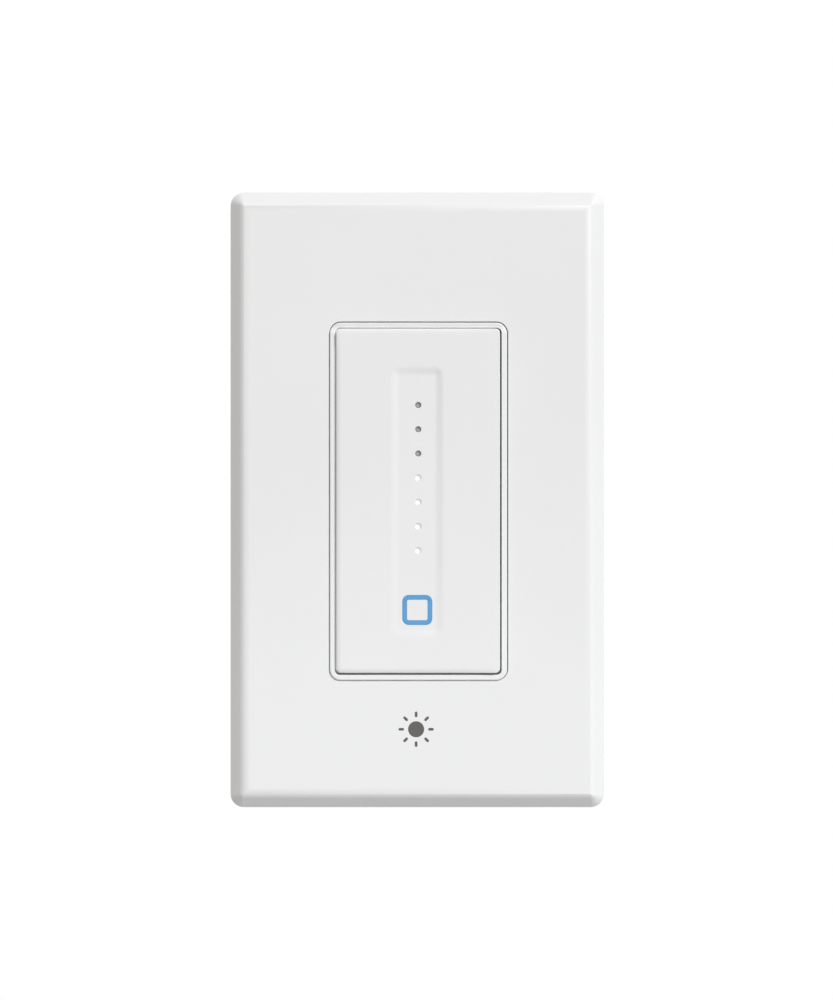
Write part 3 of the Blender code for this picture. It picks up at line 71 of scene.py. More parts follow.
# %% Sizes that several pieces share
MM = 0.001
PLATE_SIZE = (69.9, 115.1)
PLATE_CORNER = 2.45
PLATE_FACE = -6.8
WINDOW_SIZE, WINDOW_MIDDLE = (33.41, 67.11), (0.25, -0.25)  # a little off, as in the photograph
BEZEL_SIZE, BEZEL_MIDDLE = (33.17, 66.91), (0.215, -0.31)
OPENING_SIZE, OPENING_MIDDLE = (31.10, 64.81), (0.22, -0.285)
BEZEL_FACE = -7.2
PADDLE_SIZE = (30.57, 64.255)
PADDLE_FACE = -7.95
PADDLE_BACK = -6.8
CHANNEL_FLOOR = -7.75
LAMP_PITCH = 4.53
LAMP_X, LAMP_Z = 0.18, 17.71 - LAMP_PITCH * np.arange(7)
LIT_BELOW = 6.4  # the lamps under this height are on
SQUARE_Z = -20.6

print("lamps at z =", LAMP_Z.round(2), "lit:", int((LAMP_Z < LIT_BELOW).sum()))

# %% [markdown]
# ## A small workshop for surfaces
#
# Nearly every moulded piece here is a rounded rectangle that changes a little as it comes forward:
# a side, a slant, a round, a face. So one helper makes the outline of a rounded rectangle as an
# array of points, and another carries a profile along it. Everything is worked out as whole arrays,
# which is quicker than stepping from point to point and easier to check.


# %% Outlines and profiles
def outline(width, height, corner, steps=8, side=(), top=(), middle=(0.0, 0.0)):
    """Rounded rectangle as (n, 2) points x, z, anticlockwise as seen from the room.

    A corner's points are its centre plus corner * (cos a, sin a), for a over a quarter turn. side
    and top hold the fractions, -1 to 1, at which the straight edges carry points of their own.
    """
    corner = max(corner, 1e-4)
    side, top = np.asarray(side, float), np.asarray(top, float)
    ax, az = width / 2 - corner, height / 2 - corner
    a = np.linspace(0, np.pi / 2, steps + 1)
    arc = corner * np.stack([np.cos(a), np.sin(a)], -1)
    edges = [
        np.stack([top[::-1] * ax, np.full(len(top), height / 2)], -1),
        np.stack([np.full(len(side), -width / 2), side[::-1] * az], -1),
        np.stack([top * ax, np.full(len(top), -height / 2)], -1),
        np.stack([np.full(len(side), width / 2), side * az], -1),
    ]
    parts = []
    for (sx, sz), edge in zip(((1, 1), (-1, 1), (-1, -1), (1, -1)), edges):
        parts += [arc + [sx * ax, sz * az], edge]
        arc = arc @ np.array([[0.0, 1.0], [-1.0, 0.0]])
    return np.concatenate(parts) + middle


def quarter(start, end, first, steps):
    """Quarter of an ellipse, as (inset, y) points; first names which of them moves first."""
    a = np.linspace(0, np.pi / 2, steps + 1)[:, None]
    early, late = np.sin(a), 1 - np.cos(a)
    share = np.hstack([early, late] if first == "inset" else [late, early])
    return np.add(start, np.subtract(end, start) * share)


def sweep(size, corner, profile, **cuts):
    """Carries a profile of (inset, y) points round a rounded rectangle: (levels, n, 3) points.

    Each level is the outline drawn in by its inset on all sides, its corner smaller by as much.
    """
    levels = [(*np.subtract(size, 2 * inset), corner - inset) for inset, _ in profile]
    flat = np.stack([outline(*level, **cuts) for level in levels])
    y = np.broadcast_to(np.asarray(profile, float)[:, 1, None], flat.shape[:2])
    return np.stack([flat[..., 0], y, flat[..., 1]], -1)


def around(middle, half):
    """The two ends of a stretch that reaches half to each side of its middle."""
    return middle - half, middle + half


def full_turn(count):
    """Angles spread evenly over one turn."""
    return np.linspace(0, 2 * np.pi, count, endpoint=False)


print("points round the plate:", len(outline(*PLATE_SIZE, PLATE_CORNER)))

# %% [markdown]
# A piece may need several patches, such as a rim and a few ribs. So a class gathers them, turns
# them to metres and welds their shared edges at the end. The piece then rides on one of the frame's
# bodies: what a body moves in a pose, the piece follows.

# %% Patches welded into a piece
WELD, NO_LENGTH = 2e-7, 1e-8  # metres: points this close become one, edges this short are dropped


class Shape:
    """One piece, gathered from patches of points in millimetres and welded where they meet."""

    def __init__(self):
        self.points, self.faces, self.count = [], [], 0

    def add(self, points, faces):
        self.points.append(np.asarray(points, float).reshape(-1, 3))
        self.faces += (np.asarray(faces) + self.count).tolist()
        self.count += len(self.points[-1])

    def grid(self, points, wrap=(False, False)):
        """Points [i, j]: a face joins four neighbours, and wrap closes a direction on itself."""
        rows, columns = points.shape[:2]
        i, j = np.indices((rows - (not wrap[0]), columns - (not wrap[1])))
        near, far = i * columns, (i + 1) % rows * columns
        j2 = (j + 1) % columns
        self.add(points, np.stack([near + j, near + j2, far + j2, far + j], -1).reshape(-1, 4))

    def rings(self, points, closed=False):
        """Rings [i] of points; closed joins the last ring to the first too."""
        self.grid(points, (closed, True))

    def cap(self, ring, flip=False):
        """One flat face over a ring; flip turns it to face the other way."""
        order = np.arange(len(ring))
        self.add(ring, [order[::-1] if flip else order])

    def solid(self, rings):
        """Rings with a flat face over the first and over the last."""
        self.rings(rings)
        self.cap(rings[-1])
        self.cap(rings[0], flip=True)

    def stud(self, rings):
        """Rings that end in a point, with a flat face over the first."""
        self.rings(rings)
        self.cap(rings[0], flip=True)

    def box(self, x, y, z, ease=0.15, side=1):
        """A block with eased edges between the two ends on each axis; side -1 puts it at -x.

        It is a rounded rectangle carried along Y through two small rounds.
        """
        ends = np.sort([np.multiply(x, side), y, z]).astype(float)
        (_, front, _), (_, back, _) = ends.T
        size, middle = (ends[:, 1] - ends[:, 0])[[0, 2]], ends.mean(1)[[0, 2]]
        to_side = quarter((ease, back), (0, back - ease), "inset", 3)
        to_front = quarter((0, front + ease), (ease, front), "y", 3)
        self.solid(sweep(size, 2 * ease, [*to_side, *to_front], steps=3, middle=middle))

    def mesh(self, name):
        """The patches as one mesh in metres."""
        mesh = bpy.data.meshes.new(name)
        mesh.from_pydata(np.concatenate(self.points) * MM, [], self.faces)
        return mesh

    def piece(self, name, body, slot, replaces=(), finish=None, sharp=38.0):
        """The patches as a finished piece."""
        return dress(self.mesh(name), body, replaces, finish or slot, sharp)


def shown(name, data):
    """Puts a mesh, a lamp or a camera into the scene as a new object."""
    thing = bpy.data.objects.new(name, data)
    bpy.context.scene.collection.objects.link(thing)
    return thing


def dress(mesh, body, replaces, finish, sharp):
    """Makes a mesh a piece: welded, smooth but for edges over sharp degrees, riding on a body."""
    work = bmesh.new()
    work.from_mesh(mesh)
    bmesh.ops.remove_doubles(work, verts=work.verts, dist=WELD)
    bmesh.ops.dissolve_degenerate(work, edges=work.edges, dist=NO_LENGTH)
    work.to_mesh(mesh)
    work.free()
    mesh.shade_smooth()
    mesh.set_sharp_from_angle(angle=math.radians(sharp))
    mesh.materials.clear()
    mesh.materials.append(finishes[finish])
    piece = shown(mesh.name, mesh)
    piece.modifiers.new("even_normals", "WEIGHTED_NORMAL").keep_sharp = True
    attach(piece, body)
    if replaces:
        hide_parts(*replaces)
    print(f"{piece.name}: {len(mesh.polygons)} faces")
    return piece

# %% [markdown]
# ## Finishes
#
# A material in Blender is a small web of nodes. Written out node by node it is long and hard to
# read, so a socket is wrapped in a class that knows arithmetic: `0.4 + 0.1 * grain` adds the Math
# nodes by itself. Every other node comes from one method, which sets the node's choices before its
# sockets. Patterns read Object coordinates: the pieces all sit at the origin in metres, so a
# pattern's scale is a real size and it stays put when the paddle moves.


# %% Arithmetic on sockets
def adds(operation, swapped=False):
    """A method that adds one Math node; swapped puts the socket behind the other value."""

    def method(self, other=0.0):
        pair = (other, self) if swapped else (self, other)
        return self.web.node("ShaderNodeMath", {"operation": operation}, dict(enumerate(pair)))

    return method


class Wire:
    """An output socket. Plus, minus, times, divide and power add Math nodes behind it."""

    def __init__(self, web, socket):
        self.web, self.socket = web, socket

    __add__ = __radd__ = adds("ADD")
    __mul__ = __rmul__ = adds("MULTIPLY")
    __sub__, __rsub__ = adds("SUBTRACT"), adds("SUBTRACT", swapped=True)
    __truediv__, __rtruediv__ = adds("DIVIDE"), adds("DIVIDE", swapped=True)
    __pow__, __abs__ = adds("POWER"), adds("ABSOLUTE")
    __lt__, __gt__ = adds("LESS_THAN"), adds("GREATER_THAN")
    fraction, sine = adds("FRACT"), adds("SINE")

    def clamped(self):
        """Keeps the value between 0 and 1."""
        copy = self + 0.0
        copy.socket.node.use_clamp = True
        return copy


class Web:
    """An empty web of nodes, of a material or the world, and the one way to add nodes to it."""

    def __init__(self, owner):
        owner.use_nodes = True
        self.tree = owner.node_tree
        self.tree.nodes.clear()

    def node(self, kind, settings=None, inputs=None, out=0):
        """Adds a node, sets its choices, then its sockets, and returns one of its outputs."""
        node = self.tree.nodes.new(kind)
        for key, value in (settings or {}).items():
            setattr(node, key, value)
        for key, value in (inputs or {}).items():
            self.put(node.inputs[key], value)
        return Wire(self, node.outputs[out]) if len(node.outputs) else None

    def put(self, socket, value):
        """Links a wire to a socket, or writes a constant on it; a colour's alpha is 1."""
        if isinstance(value, Wire):
            self.tree.links.new(value.socket, socket)
        elif socket.type == "RGBA":
            socket.default_value = (*value, 1.0)
        else:
            socket.default_value = value

    def step(self, value, low, high, start=0.0, end=1.0):
        """Runs smoothly from start to end as value goes from low to high."""
        settings = {"interpolation_type": "SMOOTHSTEP"}
        inputs = {"Value": value, "From Min": low, "From Max": high, "To Min": start, "To Max": end}
        return self.node("ShaderNodeMapRange", settings, inputs)

    def mix(self, share, first, second):
        """Colour first where share is 0, second where it is 1."""
        settings = {"data_type": "RGBA"}
        return self.node("ShaderNodeMix", settings, {0: share, 6: first, 7: second}, out=2)


# %% [markdown]
# A finish is such a web with patterns at hand. Each pattern is one call, and so is the surface that
# the patterns end in.


# %% Patterns
class Finish(Web):
    """A material being made: patterns, masks and, at the end, one surface."""

    def __init__(self, name):
        self.material = bpy.data.materials.new(name)
        super().__init__(self.material)
        place = self.node("ShaderNodeTexCoord", out="Object")
        to_mm = {0: place, "Scale": 1 / MM}
        self.at = self.node("ShaderNodeVectorMath", {"operation": "SCALE"}, to_mm)
        axes = self.node("ShaderNodeSeparateXYZ", inputs={0: self.at}).socket.node.outputs
        self.x, self.y, self.z = (Wire(self, axis) for axis in axes)

    def noise(self, scale, detail, at=None, roughness=0.5):
        """Soft random values 0 to 1, whose lumps are about 1 / scale millimetres wide."""
        inputs = {"Vector": at or self.at, "Scale": scale, "Detail": detail, "Roughness": roughness}
        return self.node("ShaderNodeTexNoise", inputs=inputs)

    def cells(self, scale, at=None, randomness=1.0, distance="EUCLIDEAN"):
        """Distance to the nearest of scattered points, for grains, flakes and pits."""
        inputs = {"Vector": at or self.at, "Scale": scale, "Randomness": randomness}
        return self.node("ShaderNodeTexVoronoi", {"distance": distance}, inputs)

    def soft(self, scale, low, high):
        """Drifts softly between two numbers, in lumps 1 / scale wide."""
        return self.step(self.noise(scale, 3.0), 0.3, 0.7, low, high)

    def tint(self, scale, first, second):
        """Drifts softly between two colours."""
        return self.mix(self.soft(scale, 0.0, 1.0), first, second)

    def stretched(self, x=1.0, y=1.0, z=1.0, turn=(0.0, 0.0, 0.0)):
        """The place, turned and then scaled by axis, so that a pattern runs out in long streaks."""
        inputs = {"Vector": self.at, "Rotation": turn, "Scale": (x, y, z)}
        return self.node("ShaderNodeMapping", {"vector_type": "POINT"}, inputs)

    def bump(self, height, distance, strength, under=None):
        """Turns a height of 0 to 1 into a bent normal; distance is its real depth in metres."""
        inputs = {"Height": height, "Distance": distance, "Strength": strength}
        if under:
            inputs["Normal"] = under
        return self.node("ShaderNodeBump", inputs=inputs)

    def worn_edges(self, low=0.52, high=0.60):
        """1 on outer edges, where hands and tools polish a surface, and 0 elsewhere."""
        return self.step(self.node("ShaderNodeNewGeometry", out="Pointiness"), low, high)

    def surface(self, **sockets):
        """Ends the material in a Principled surface, with its sockets by name."""
        inputs = {name.replace("_", " "): value for name, value in sockets.items()}
        surface = self.node("ShaderNodeBsdfPrincipled", inputs=inputs)
        self.node("ShaderNodeOutputMaterial", inputs={"Surface": surface})
        print("finish:", self.material.name, len(self.tree.nodes), "nodes")
        return self.material


finishes = {}  # by the slot that the solids name, and a few more

# %% [markdown]
# ### White moulded plastic
#
# The plate, the paddle and the square key are one satin white, moulded in a tool whose polished
# steel was lightly blasted. Close up that leaves a skin of shallow pits a fifth of a millimetre
# apart, and over a hand's width the colour drifts by about one percent. Real white plastic is
# nearer 0.87 than 1: a colour of 1 would burn out under the lamps and lose the edges. Corners that
# fingers meet are a little smoother than the faces.


# %% White moulded plastic
def white_plastic(name, tone, gloss, pits):
    """Satin white: tone is its colour, gloss its mean roughness, pits the depth of its skin."""
    f = Finish(name)
    skin = f.noise(4.2, 3.0) * 0.65 + f.cells(5.5) * 0.35
    shift = f.soft(0.045, 0.991, 1.0) * f.step(skin, 0.2, 0.8, 0.994, 1.004)
    pale = [c * 0.985 for c in tone]
    matt = f.step(f.noise(0.7, 4.0), 0.35, 0.7, gloss - 0.035, gloss + 0.035)
    ripple = f.bump(f.noise(0.16, 1.0), 0.00003, 0.4)
    return f.surface(
        Base_Color=f.mix(f.step(shift, 0.985, 1.004), pale, tone),
        Roughness=matt - 0.09 * f.worn_edges(),
        Normal=f.bump(skin, pits, 0.55, under=ripple),
        IOR=1.49,
        Specular_IOR_Level=0.42,
    )


for kind, *look in (
    ("white", (0.868, 0.868, 0.866), 0.46, 0.000006),
    ("bezel", (0.872, 0.872, 0.870), 0.34, 0.000003),
    ("inner", (0.78, 0.78, 0.765), 0.55, 0.000010),
):
    finishes[f"{kind}_plastic"] = white_plastic(f"{kind}_moulded_plastic", *look)

# %% [markdown]
# ### Dark housing plastic
#
# The box in the wall is a dark, flame-proof grade with glass fibre in it. Its tool was left with a
# coarse spark finish, so light breaks up on it, and the fibres show as a faint mottle that follows
# the flow of the melt. Edges rub pale where boxes and wires scrape them. The wear is worked out
# from the place: near(d) is 1 on a side of the box and fades over a millimetre, and an edge is
# where the piece is near two sides at once.

# %% Dark housing plastic
HOUSING_HALF, HOUSING_BACK = (21.75, 33.25), 32.3
f = Finish("housing_moulded_plastic")
gaps = (HOUSING_HALF[0] - abs(f.x), HOUSING_HALF[1] - abs(f.z), HOUSING_BACK - f.y)
side, end, back = (f.step(gap, 0.0, 1.1, 1.0, 0.0) for gap in gaps)
rubbed = f.step(f.noise(0.8, 4.0), 0.35, 0.6)
edge = (side * end + end * back + back * side).clamped() * rubbed
spark = f.noise(3.1, 5.0, roughness=0.62) * 0.6 + f.cells(3.6) * 0.4
flow = f.noise(0.9, 4.0, at=f.stretched(1.0, 0.35, 0.35, (0.0, 0.3, 0.1)))
scuff = f.step(f.noise(0.55, 5.0, at=f.stretched(1.0, 4.0, 1.0)), 0.60, 0.72)
colour = f.mix(f.step(flow, 0.35, 0.68), (0.030, 0.031, 0.034), (0.050, 0.051, 0.055))
colour = f.mix((scuff * 0.25 + edge * 0.45).clamped(), colour, (0.125, 0.125, 0.128))
finishes["housing_plastic"] = f.surface(
    Base_Color=colour,
    Roughness=f.step(spark, 0.25, 0.75, 0.47, 0.66) - 0.08 * scuff,
    Normal=f.bump(spark, 0.00004, 0.75),
    IOR=1.5,
)

# %% [markdown]
# ### Lamp guide and lamp packages
#
# The seven lamp holes show the ends of one clear bar. The lower four are lit from behind and glow
# white, edge to edge; the three above are off and look like frosted grey glass. Light
# inside a milky plastic spreads, so a lit end is brightest in its middle and falls off towards its
# rim. The glow is worked out from the distance to the nearest lamp, which repeats at the lamps'
# pitch.

# %% Lamp guide and lamp packages
f = Finish("lamp_guide")
level = (f.z - (LAMP_Z[-1] - LAMP_PITCH / 2)) / LAMP_PITCH
off_middle, across = (level.fraction() - 0.5) * LAMP_PITCH, f.x - LAMP_X
distance = (off_middle * off_middle + across * across) ** 0.5
haze = f.noise(2.4, 3.0)
lit = (f.z < LIT_BELOW) * (f.y < -6.9)  # the pins' ends, not the bar behind them
core = f.step(distance, 0.25, 0.72, 1.0, 0.86)
frosted = f.mix(f.step(haze, 0.3, 0.7), (0.315, 0.315, 0.32), (0.37, 0.37, 0.375))
finishes["lamp_guide"] = f.surface(
    Base_Color=f.mix(lit, frosted, (0.82, 0.82, 0.82)),
    Roughness=f.step(haze, 0.2, 0.8, 0.26, 0.40),
    Emission_Color=f.mix(lit * core, (0.0, 0.0, 0.0), (1.0, 1.0, 1.0)),
    Emission_Strength=0.27,
    Normal=f.bump(haze, 0.00001, 0.4),
    IOR=1.49,
)

f = Finish("lamp_package")
grain = f.noise(9.0, 3.0)
window = f.step(abs((f.x * 2.4).sine()), 0.25, 0.6)
finishes["clear_plastic"] = f.surface(
    Base_Color=f.mix(window, (0.86, 0.80, 0.48), (0.84, 0.85, 0.84)),
    Roughness=f.step(grain, 0.3, 0.7, 0.22, 0.42),
    Normal=f.bump(grain, 0.00001, 0.5),
)

# %% [markdown]
# ### The blue square
#
# A blue lens stands flush in the channel round a white key, with a lamp behind it. It isn't a
# bright light: in a lit room it reads as an even sky blue. So most of its colour is its own and a
# part glows, a little stronger at the middle of each side than in the corners, which are further
# from the lamp.

# %% The blue lens
f = Finish("blue_lens")
from_middle = (f.x * f.x + (f.z - SQUARE_Z) * (f.z - SQUARE_Z)) ** 0.5
glow = f.step(from_middle, 2.3, 3.8, 1.0, 0.80)
cloud = f.noise(1.6, 3.0)
finishes["blue_lens"] = f.surface(
    Base_Color=f.mix(f.step(cloud, 0.3, 0.7), (0.038, 0.160, 0.325), (0.044, 0.174, 0.345)),
    Roughness=f.step(cloud, 0.25, 0.75, 0.27, 0.38),
    Emission_Color=f.mix(glow, (0.060, 0.230, 0.465), (0.074, 0.272, 0.545)),
    Emission_Strength=0.55,
    Normal=f.bump(f.noise(6.0, 2.0), 0.000003, 0.5),
    IOR=1.49,
)

# %% [markdown]
# ### Metals
#
# The strap is aluminium, rolled and then punched, so fine rolling lines run along its length. The
# screws and pins are steel under a thin zinc coat, which has no grain but a slightly cloudy lustre
# and tiny flakes. Terminal plates and the line screw are brass. One recipe serves them all: long
# streaks from a noise that is squeezed in one direction, clouds from a wide noise, and a little
# tarnish where the clouds are dark.


# %% Metals
def metal(name, light, dark, streak, cloud_scale, gloss, depth):
    """light and dark are the colours it drifts between, streak the squeeze of its lines by axis."""
    f = Finish(name)
    lines = f.noise(1.0, 4.0, at=f.stretched(*streak), roughness=0.7)
    clouds = f.noise(cloud_scale, 3.0)
    flakes = f.cells(9.0)
    share = f.step(lines * 0.45 + clouds * 0.55, 0.34, 0.66)
    matt = f.step(lines * 0.7 + flakes * 0.3, 0.25, 0.75, gloss + 0.09, gloss - 0.06)
    return f.surface(
        Base_Color=f.mix(share, dark, light),
        Metallic=f.step(clouds, 0.2, 0.45, 0.94, 1.0),
        Roughness=matt - 0.06 * f.worn_edges(),
        Normal=f.bump(lines * 0.8 + flakes * 0.2, depth, 0.5),
    )


for slot, name, light, dark, *look in (
    ("aluminium", "rolled_aluminium", (0.80, 0.81, 0.82), (0.66, 0.67, 0.69),
     (7.0, 7.0, 0.25), 0.12, 0.36, 8e-6),
    ("steel", "zinc_coated_steel", (0.66, 0.66, 0.64), (0.50, 0.50, 0.49),
     (1.5, 1.5, 1.5), 0.9, 0.30, 5e-6),
    ("brass", "plain_brass", (0.80, 0.62, 0.30), (0.62, 0.43, 0.18),
     (5.0, 5.0, 0.6), 0.5, 0.32, 6e-6),
):
    finishes[slot] = metal(name, light, dark, *look)

# %% [markdown]
# ### The green ground screw
#
# The ground screw is dyed green so that nobody mistakes it. The dye is thin: the zinc shows
# through on the rim, where the driver and the bin of other screws have rubbed it.

# %% Green ground screw
f = Finish("green_dyed_screw")
bare = f.worn_edges(0.56, 0.66) * f.step(f.noise(2.6, 4.0), 0.48, 0.68, 0.0, 0.55)
dye = f.tint(1.1, (0.014, 0.150, 0.048), (0.028, 0.235, 0.080))
finishes["green_screw"] = f.surface(
    Base_Color=f.mix(bare, dye, (0.55, 0.56, 0.53)),
    Metallic=f.step(bare, 0.0, 1.0, 0.72, 1.0),
    Roughness=f.soft(5.0, 0.30, 0.42),
    Normal=f.bump(f.noise(7.0, 3.0), 0.000006, 0.5),
)

# %% [markdown]
# ### Circuit boards
#
# A board is woven glass under a green lacquer. The weave shows as a fine square ripple, copper
# tracks as slightly lighter raised bands that turn at right angles, and joints as rows of small tin
# pads, each with a black dot of painted shade for the dark inside of its drilled hole. The tracks
# are made from a cell pattern whose distance is measured along the axes, which gives straight edges
# and square corners, and the pads from a repeating grid.

# %% Circuit boards
f = Finish("lacquered_board")
weave = (f.x * 9.0).sine() * 0.5 + (f.z * 9.0).sine() * 0.5
board_plane = f.stretched(1.0, 0.0, 1.0)
block = f.cells(0.28, at=board_plane, randomness=0.75, distance="CHEBYCHEV")
track = f.step(abs((block * 14.0).sine()), 0.62, 0.74)
PAD_PITCH = 2.54
column, row = ((place / PAD_PITCH).fraction() - 0.5 for place in (f.x, f.z))
to_pad = (column * column + row * row) ** 0.5
where = f.step(f.noise(0.11, 1.0, at=board_plane), 0.52, 0.56)
pad = f.step(to_pad, 0.20, 0.23, 1.0, 0.0) * where
# painted shade: a black dot in each pad stands for the dark inside of a drilled hole
hole = f.step(to_pad, 0.08, 0.10, 1.0, 0.0) * where
lacquer = f.mix(track * (1 - where), (0.010, 0.095, 0.042), (0.020, 0.170, 0.075))
colour = f.mix(hole, f.mix(pad, lacquer, (0.62, 0.62, 0.60)), (0.02, 0.02, 0.02))
finishes["board_green"] = f.surface(
    Base_Color=colour,
    Metallic=(pad * (1 - hole)).clamped(),
    Roughness=f.soft(1.5, 0.24, 0.36),
    Normal=f.bump(track * 0.7 + pad * 0.8 + weave * 0.08, 0.00004, 0.7),
    Coat_Weight=(1 - pad) * 0.25,
    IOR=1.5,
)

# %% [markdown]
# ### Moulded resin, dipped resin, tape and wire
#
# Inside the box are bought parts: black moulded resin for semiconductors and the capacitor's
# sleeve, a blue dipped disc whose skin sags into orange peel, yellow film boxes, and a coil of
# lacquered copper. They share one recipe, in which the colour drifts, the skin is bumped at a size
# of its own, and dust settles in a thin pale veil.


# %% Bought parts
def resin(name, colour, drift, skin_scale, skin_depth, gloss, dust=0.05):
    """colour drifts by the share drift; skin_scale counts bumps in a millimetre."""
    f = Finish(name)
    skin = f.noise(skin_scale, 4.0)
    base = f.tint(0.35, [c * (1 - drift) for c in colour], colour)
    veil = f.step(f.noise(1.3, 5.0), 0.5, 0.8, 0.0, dust)
    return f.surface(
        Base_Color=f.mix(veil, base, (0.55, 0.54, 0.52)),
        Roughness=f.step(skin, 0.3, 0.7, gloss - 0.06, gloss + 0.08) + veil * 2.0,
        Normal=f.bump(skin, skin_depth, 0.6),
        IOR=1.52,
    )


for slot, name, colour, *look in (
    ("black_part", "black_moulded_resin", (0.021, 0.021, 0.023), 0.3, 4.0, 0.00002, 0.46),
    ("disc_blue", "blue_dipped_resin", (0.035, 0.120, 0.420), 0.25, 1.1, 0.00006, 0.26, 0.03),
    ("film_yellow", "yellow_film_and_tape", (0.740, 0.530, 0.075), 0.18, 2.0, 0.00002, 0.36),
    ("pad_grey", "grey_heat_pad", (0.420, 0.440, 0.470), 0.12, 5.0, 0.00004, 0.74, 0.08),
    ("fibre", "pressed_red_fibre", (0.330, 0.115, 0.060), 0.3, 6.5, 0.00004, 0.72, 0.06),
):
    finishes[slot] = resin(name, colour, *look)

f = Finish("lacquered_copper_wire")
# painted shade and highlight: the copper is darker in bands between the wire's turns and lighter on
# them
turn = f.step((f.z * 8.0 + f.noise(0.8, 2.0) * 3.0).sine(), -0.9, 0.9)
finishes["copper"] = f.surface(
    Base_Color=f.mix(turn, (0.40, 0.130, 0.045), (0.72, 0.300, 0.120)),
    Metallic=f.step(turn, 0.0, 1.0, 0.88, 1.0),
    Roughness=f.soft(3.0, 0.22, 0.34),
    Normal=f.bump(turn, 0.00003, 0.6),
    Coat_Weight=f.step(turn, 0.0, 1.0, 0.35, 0.5),
)

# %% [markdown]
# ### Which finish goes on which solid
#
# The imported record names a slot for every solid, and the finishes go by those names. So no solid is
# left with the plain colour it came with, and a piece made below only says what it replaces.

# %% Paint every solid by its slot
slot_of = {part["node"]: part["material_slot"] for part in frame["record"]["subparts"]}
for node, solid in frame["nodes"].items():
    for i in range(len(solid.material_slots)):
        solid.material_slots[i].material = finishes[slot_of[node]]
print("painted", len(slot_of), "solids in", len(set(slot_of.values())), "slots")

# %% [markdown]
# ## The cover plate
#
# The cover is one thin moulded shell that presses onto a hidden plate, so no screw shows. Its edge
# slants back at 45 degrees and a round joins the slant to the face; that slant is what catches the
# light on the right and falls into shade on the left. A shell like this is one closed profile
# carried round a rounded rectangle: up the outside, over the slant and the face, down into the
# window, back along its collar and the ceiling, and down the inside to the wall.

# %% The cover plate's profile
SLANT, BLEND = 1.7, 2.0  # widths of the slant and of the round that joins it to the face
CEILING, COLLAR_END, WALL, WALL_MIDDLE = -5.0, -3.7, 1.8, 0.9
blend_radius = BLEND / math.sin(math.pi / 4)
turn = np.linspace(math.pi / 4, 0, 13)
blend_inset = SLANT + BLEND - blend_radius * np.sin(turn)
blend = np.stack([blend_inset, PLATE_FACE + blend_radius * (1 - np.cos(turn))], -1)
slant_back = blend[0, 1] + SLANT

outer_edge = [
    [(WALL_MIDDLE, 0.0), (0.12, 0.0)],
    quarter((0.12, 0.0), (0.0, -0.12), "inset", 3),
    [(0.0, slant_back + 0.12), (0.02, slant_back + 0.04), (0.06, slant_back - 0.04)],
    blend,
]
inner_edge = [
    [(WALL + 1.7, CEILING), (WALL + 0.5, CEILING + 1.2), (WALL, CEILING + 1.9)],
    [(WALL, -0.15), (WALL - 0.12, 0.0), (WALL_MIDDLE, 0.0)],
]
print("slant starts", round(-slant_back, 2), "mm off the wall")

# %% [markdown]
# The window isn't the plate's outline drawn in: it has its own proportions. So the plate takes two
# sweeps, one from the outside and one from the window, and two flat bands, the face and the
# ceiling, that join ring to ring. Both outlines have the same number of points, so each point has a
# partner.


# %% The cover plate
WINDOW_CORNER, COLLAR, EASE = 2.2, 1.0, 0.08
plate = Shape()
outside = sweep(PLATE_SIZE, PLATE_CORNER, np.concatenate(outer_edge))
collar = [  # how far it has grown out from the window, and its place along Y
    *quarter((0.22, PLATE_FACE), (0.0, PLATE_FACE + 0.22), "inset", 5),
    (0.0, COLLAR_END - EASE),
    (EASE, COLLAR_END),
    (COLLAR - EASE, COLLAR_END),
    (COLLAR, COLLAR_END - EASE),
    (COLLAR, CEILING + 0.25),
    (COLLAR + 0.25, CEILING),
]
grown = [(-grow, y) for grow, y in collar]
window = sweep(WINDOW_SIZE, WINDOW_CORNER, grown, middle=WINDOW_MIDDLE)
inside = sweep(PLATE_SIZE, PLATE_CORNER, np.concatenate(inner_edge))
plate.rings(np.concatenate([outside, window, inside]))

CATCH_X, CATCH_Y, CATCH_HALF = (32.25, 33.3), (-1.5, -0.45), 4.0
for side in (1, -1):  # wedges on the inner side walls that grip the plate behind
    for z in (-34.0, 0.0, 34.0):
        plate.box(CATCH_X, CATCH_Y, around(z, CATCH_HALF), 0.2, side)
plate.piece("cover_plate_shell", "body", "white_plastic", ["wall_plate"])

# %% [markdown]
# ## A printed mark
#
# Below the paddle such a plate often carries a small dark print. Here it is a plain brightness
# sign: a disc with eight short rays, six and a half millimetres across. Ink from a printing pad is
# about a hundredth of a millimetre thick, so the print is a film that stands that much off the
# face.

# %% The brightness sign
f = Finish("dark_pad_print")
grain = f.noise(7.0, 4.0)
finishes["dark_print"] = f.surface(
    Base_Color=f.mix(f.step(grain, 0.3, 0.7), (0.096, 0.086, 0.080), (0.112, 0.101, 0.094)),
    Roughness=f.step(grain, 0.3, 0.7, 0.46, 0.58),
    Normal=f.bump(grain, 0.000004, 0.6),
)
SIGN_AT, INK, DISC_RADIUS, RAY_MIDDLE, RAYS = (-0.2, -42.9), 0.012, 1.5, (2.78, 0.0), 8


def printed(sign, flat):
    """A closed outline (n, 2) as a thin film, its face off the plate and its back sunk into it."""
    ring = np.insert(flat + SIGN_AT, 1, PLATE_FACE - INK, axis=1)
    sign.solid(np.stack([ring + [0.0, 5 * INK, 0.0], ring]))


sign = Shape()
round_turn = full_turn(64)
printed(sign, DISC_RADIUS * np.stack([np.cos(round_turn), np.sin(round_turn)], -1))
ray = outline(1.05, 0.5, 0.25, steps=6, middle=RAY_MIDDLE)
for turn in full_turn(RAYS):
    c, s = math.cos(turn), math.sin(turn)
    printed(sign, ray @ np.array([[c, s], [-s, c]]))
sign.piece("brightness_sign", "body", "black_part", finish="dark_print")

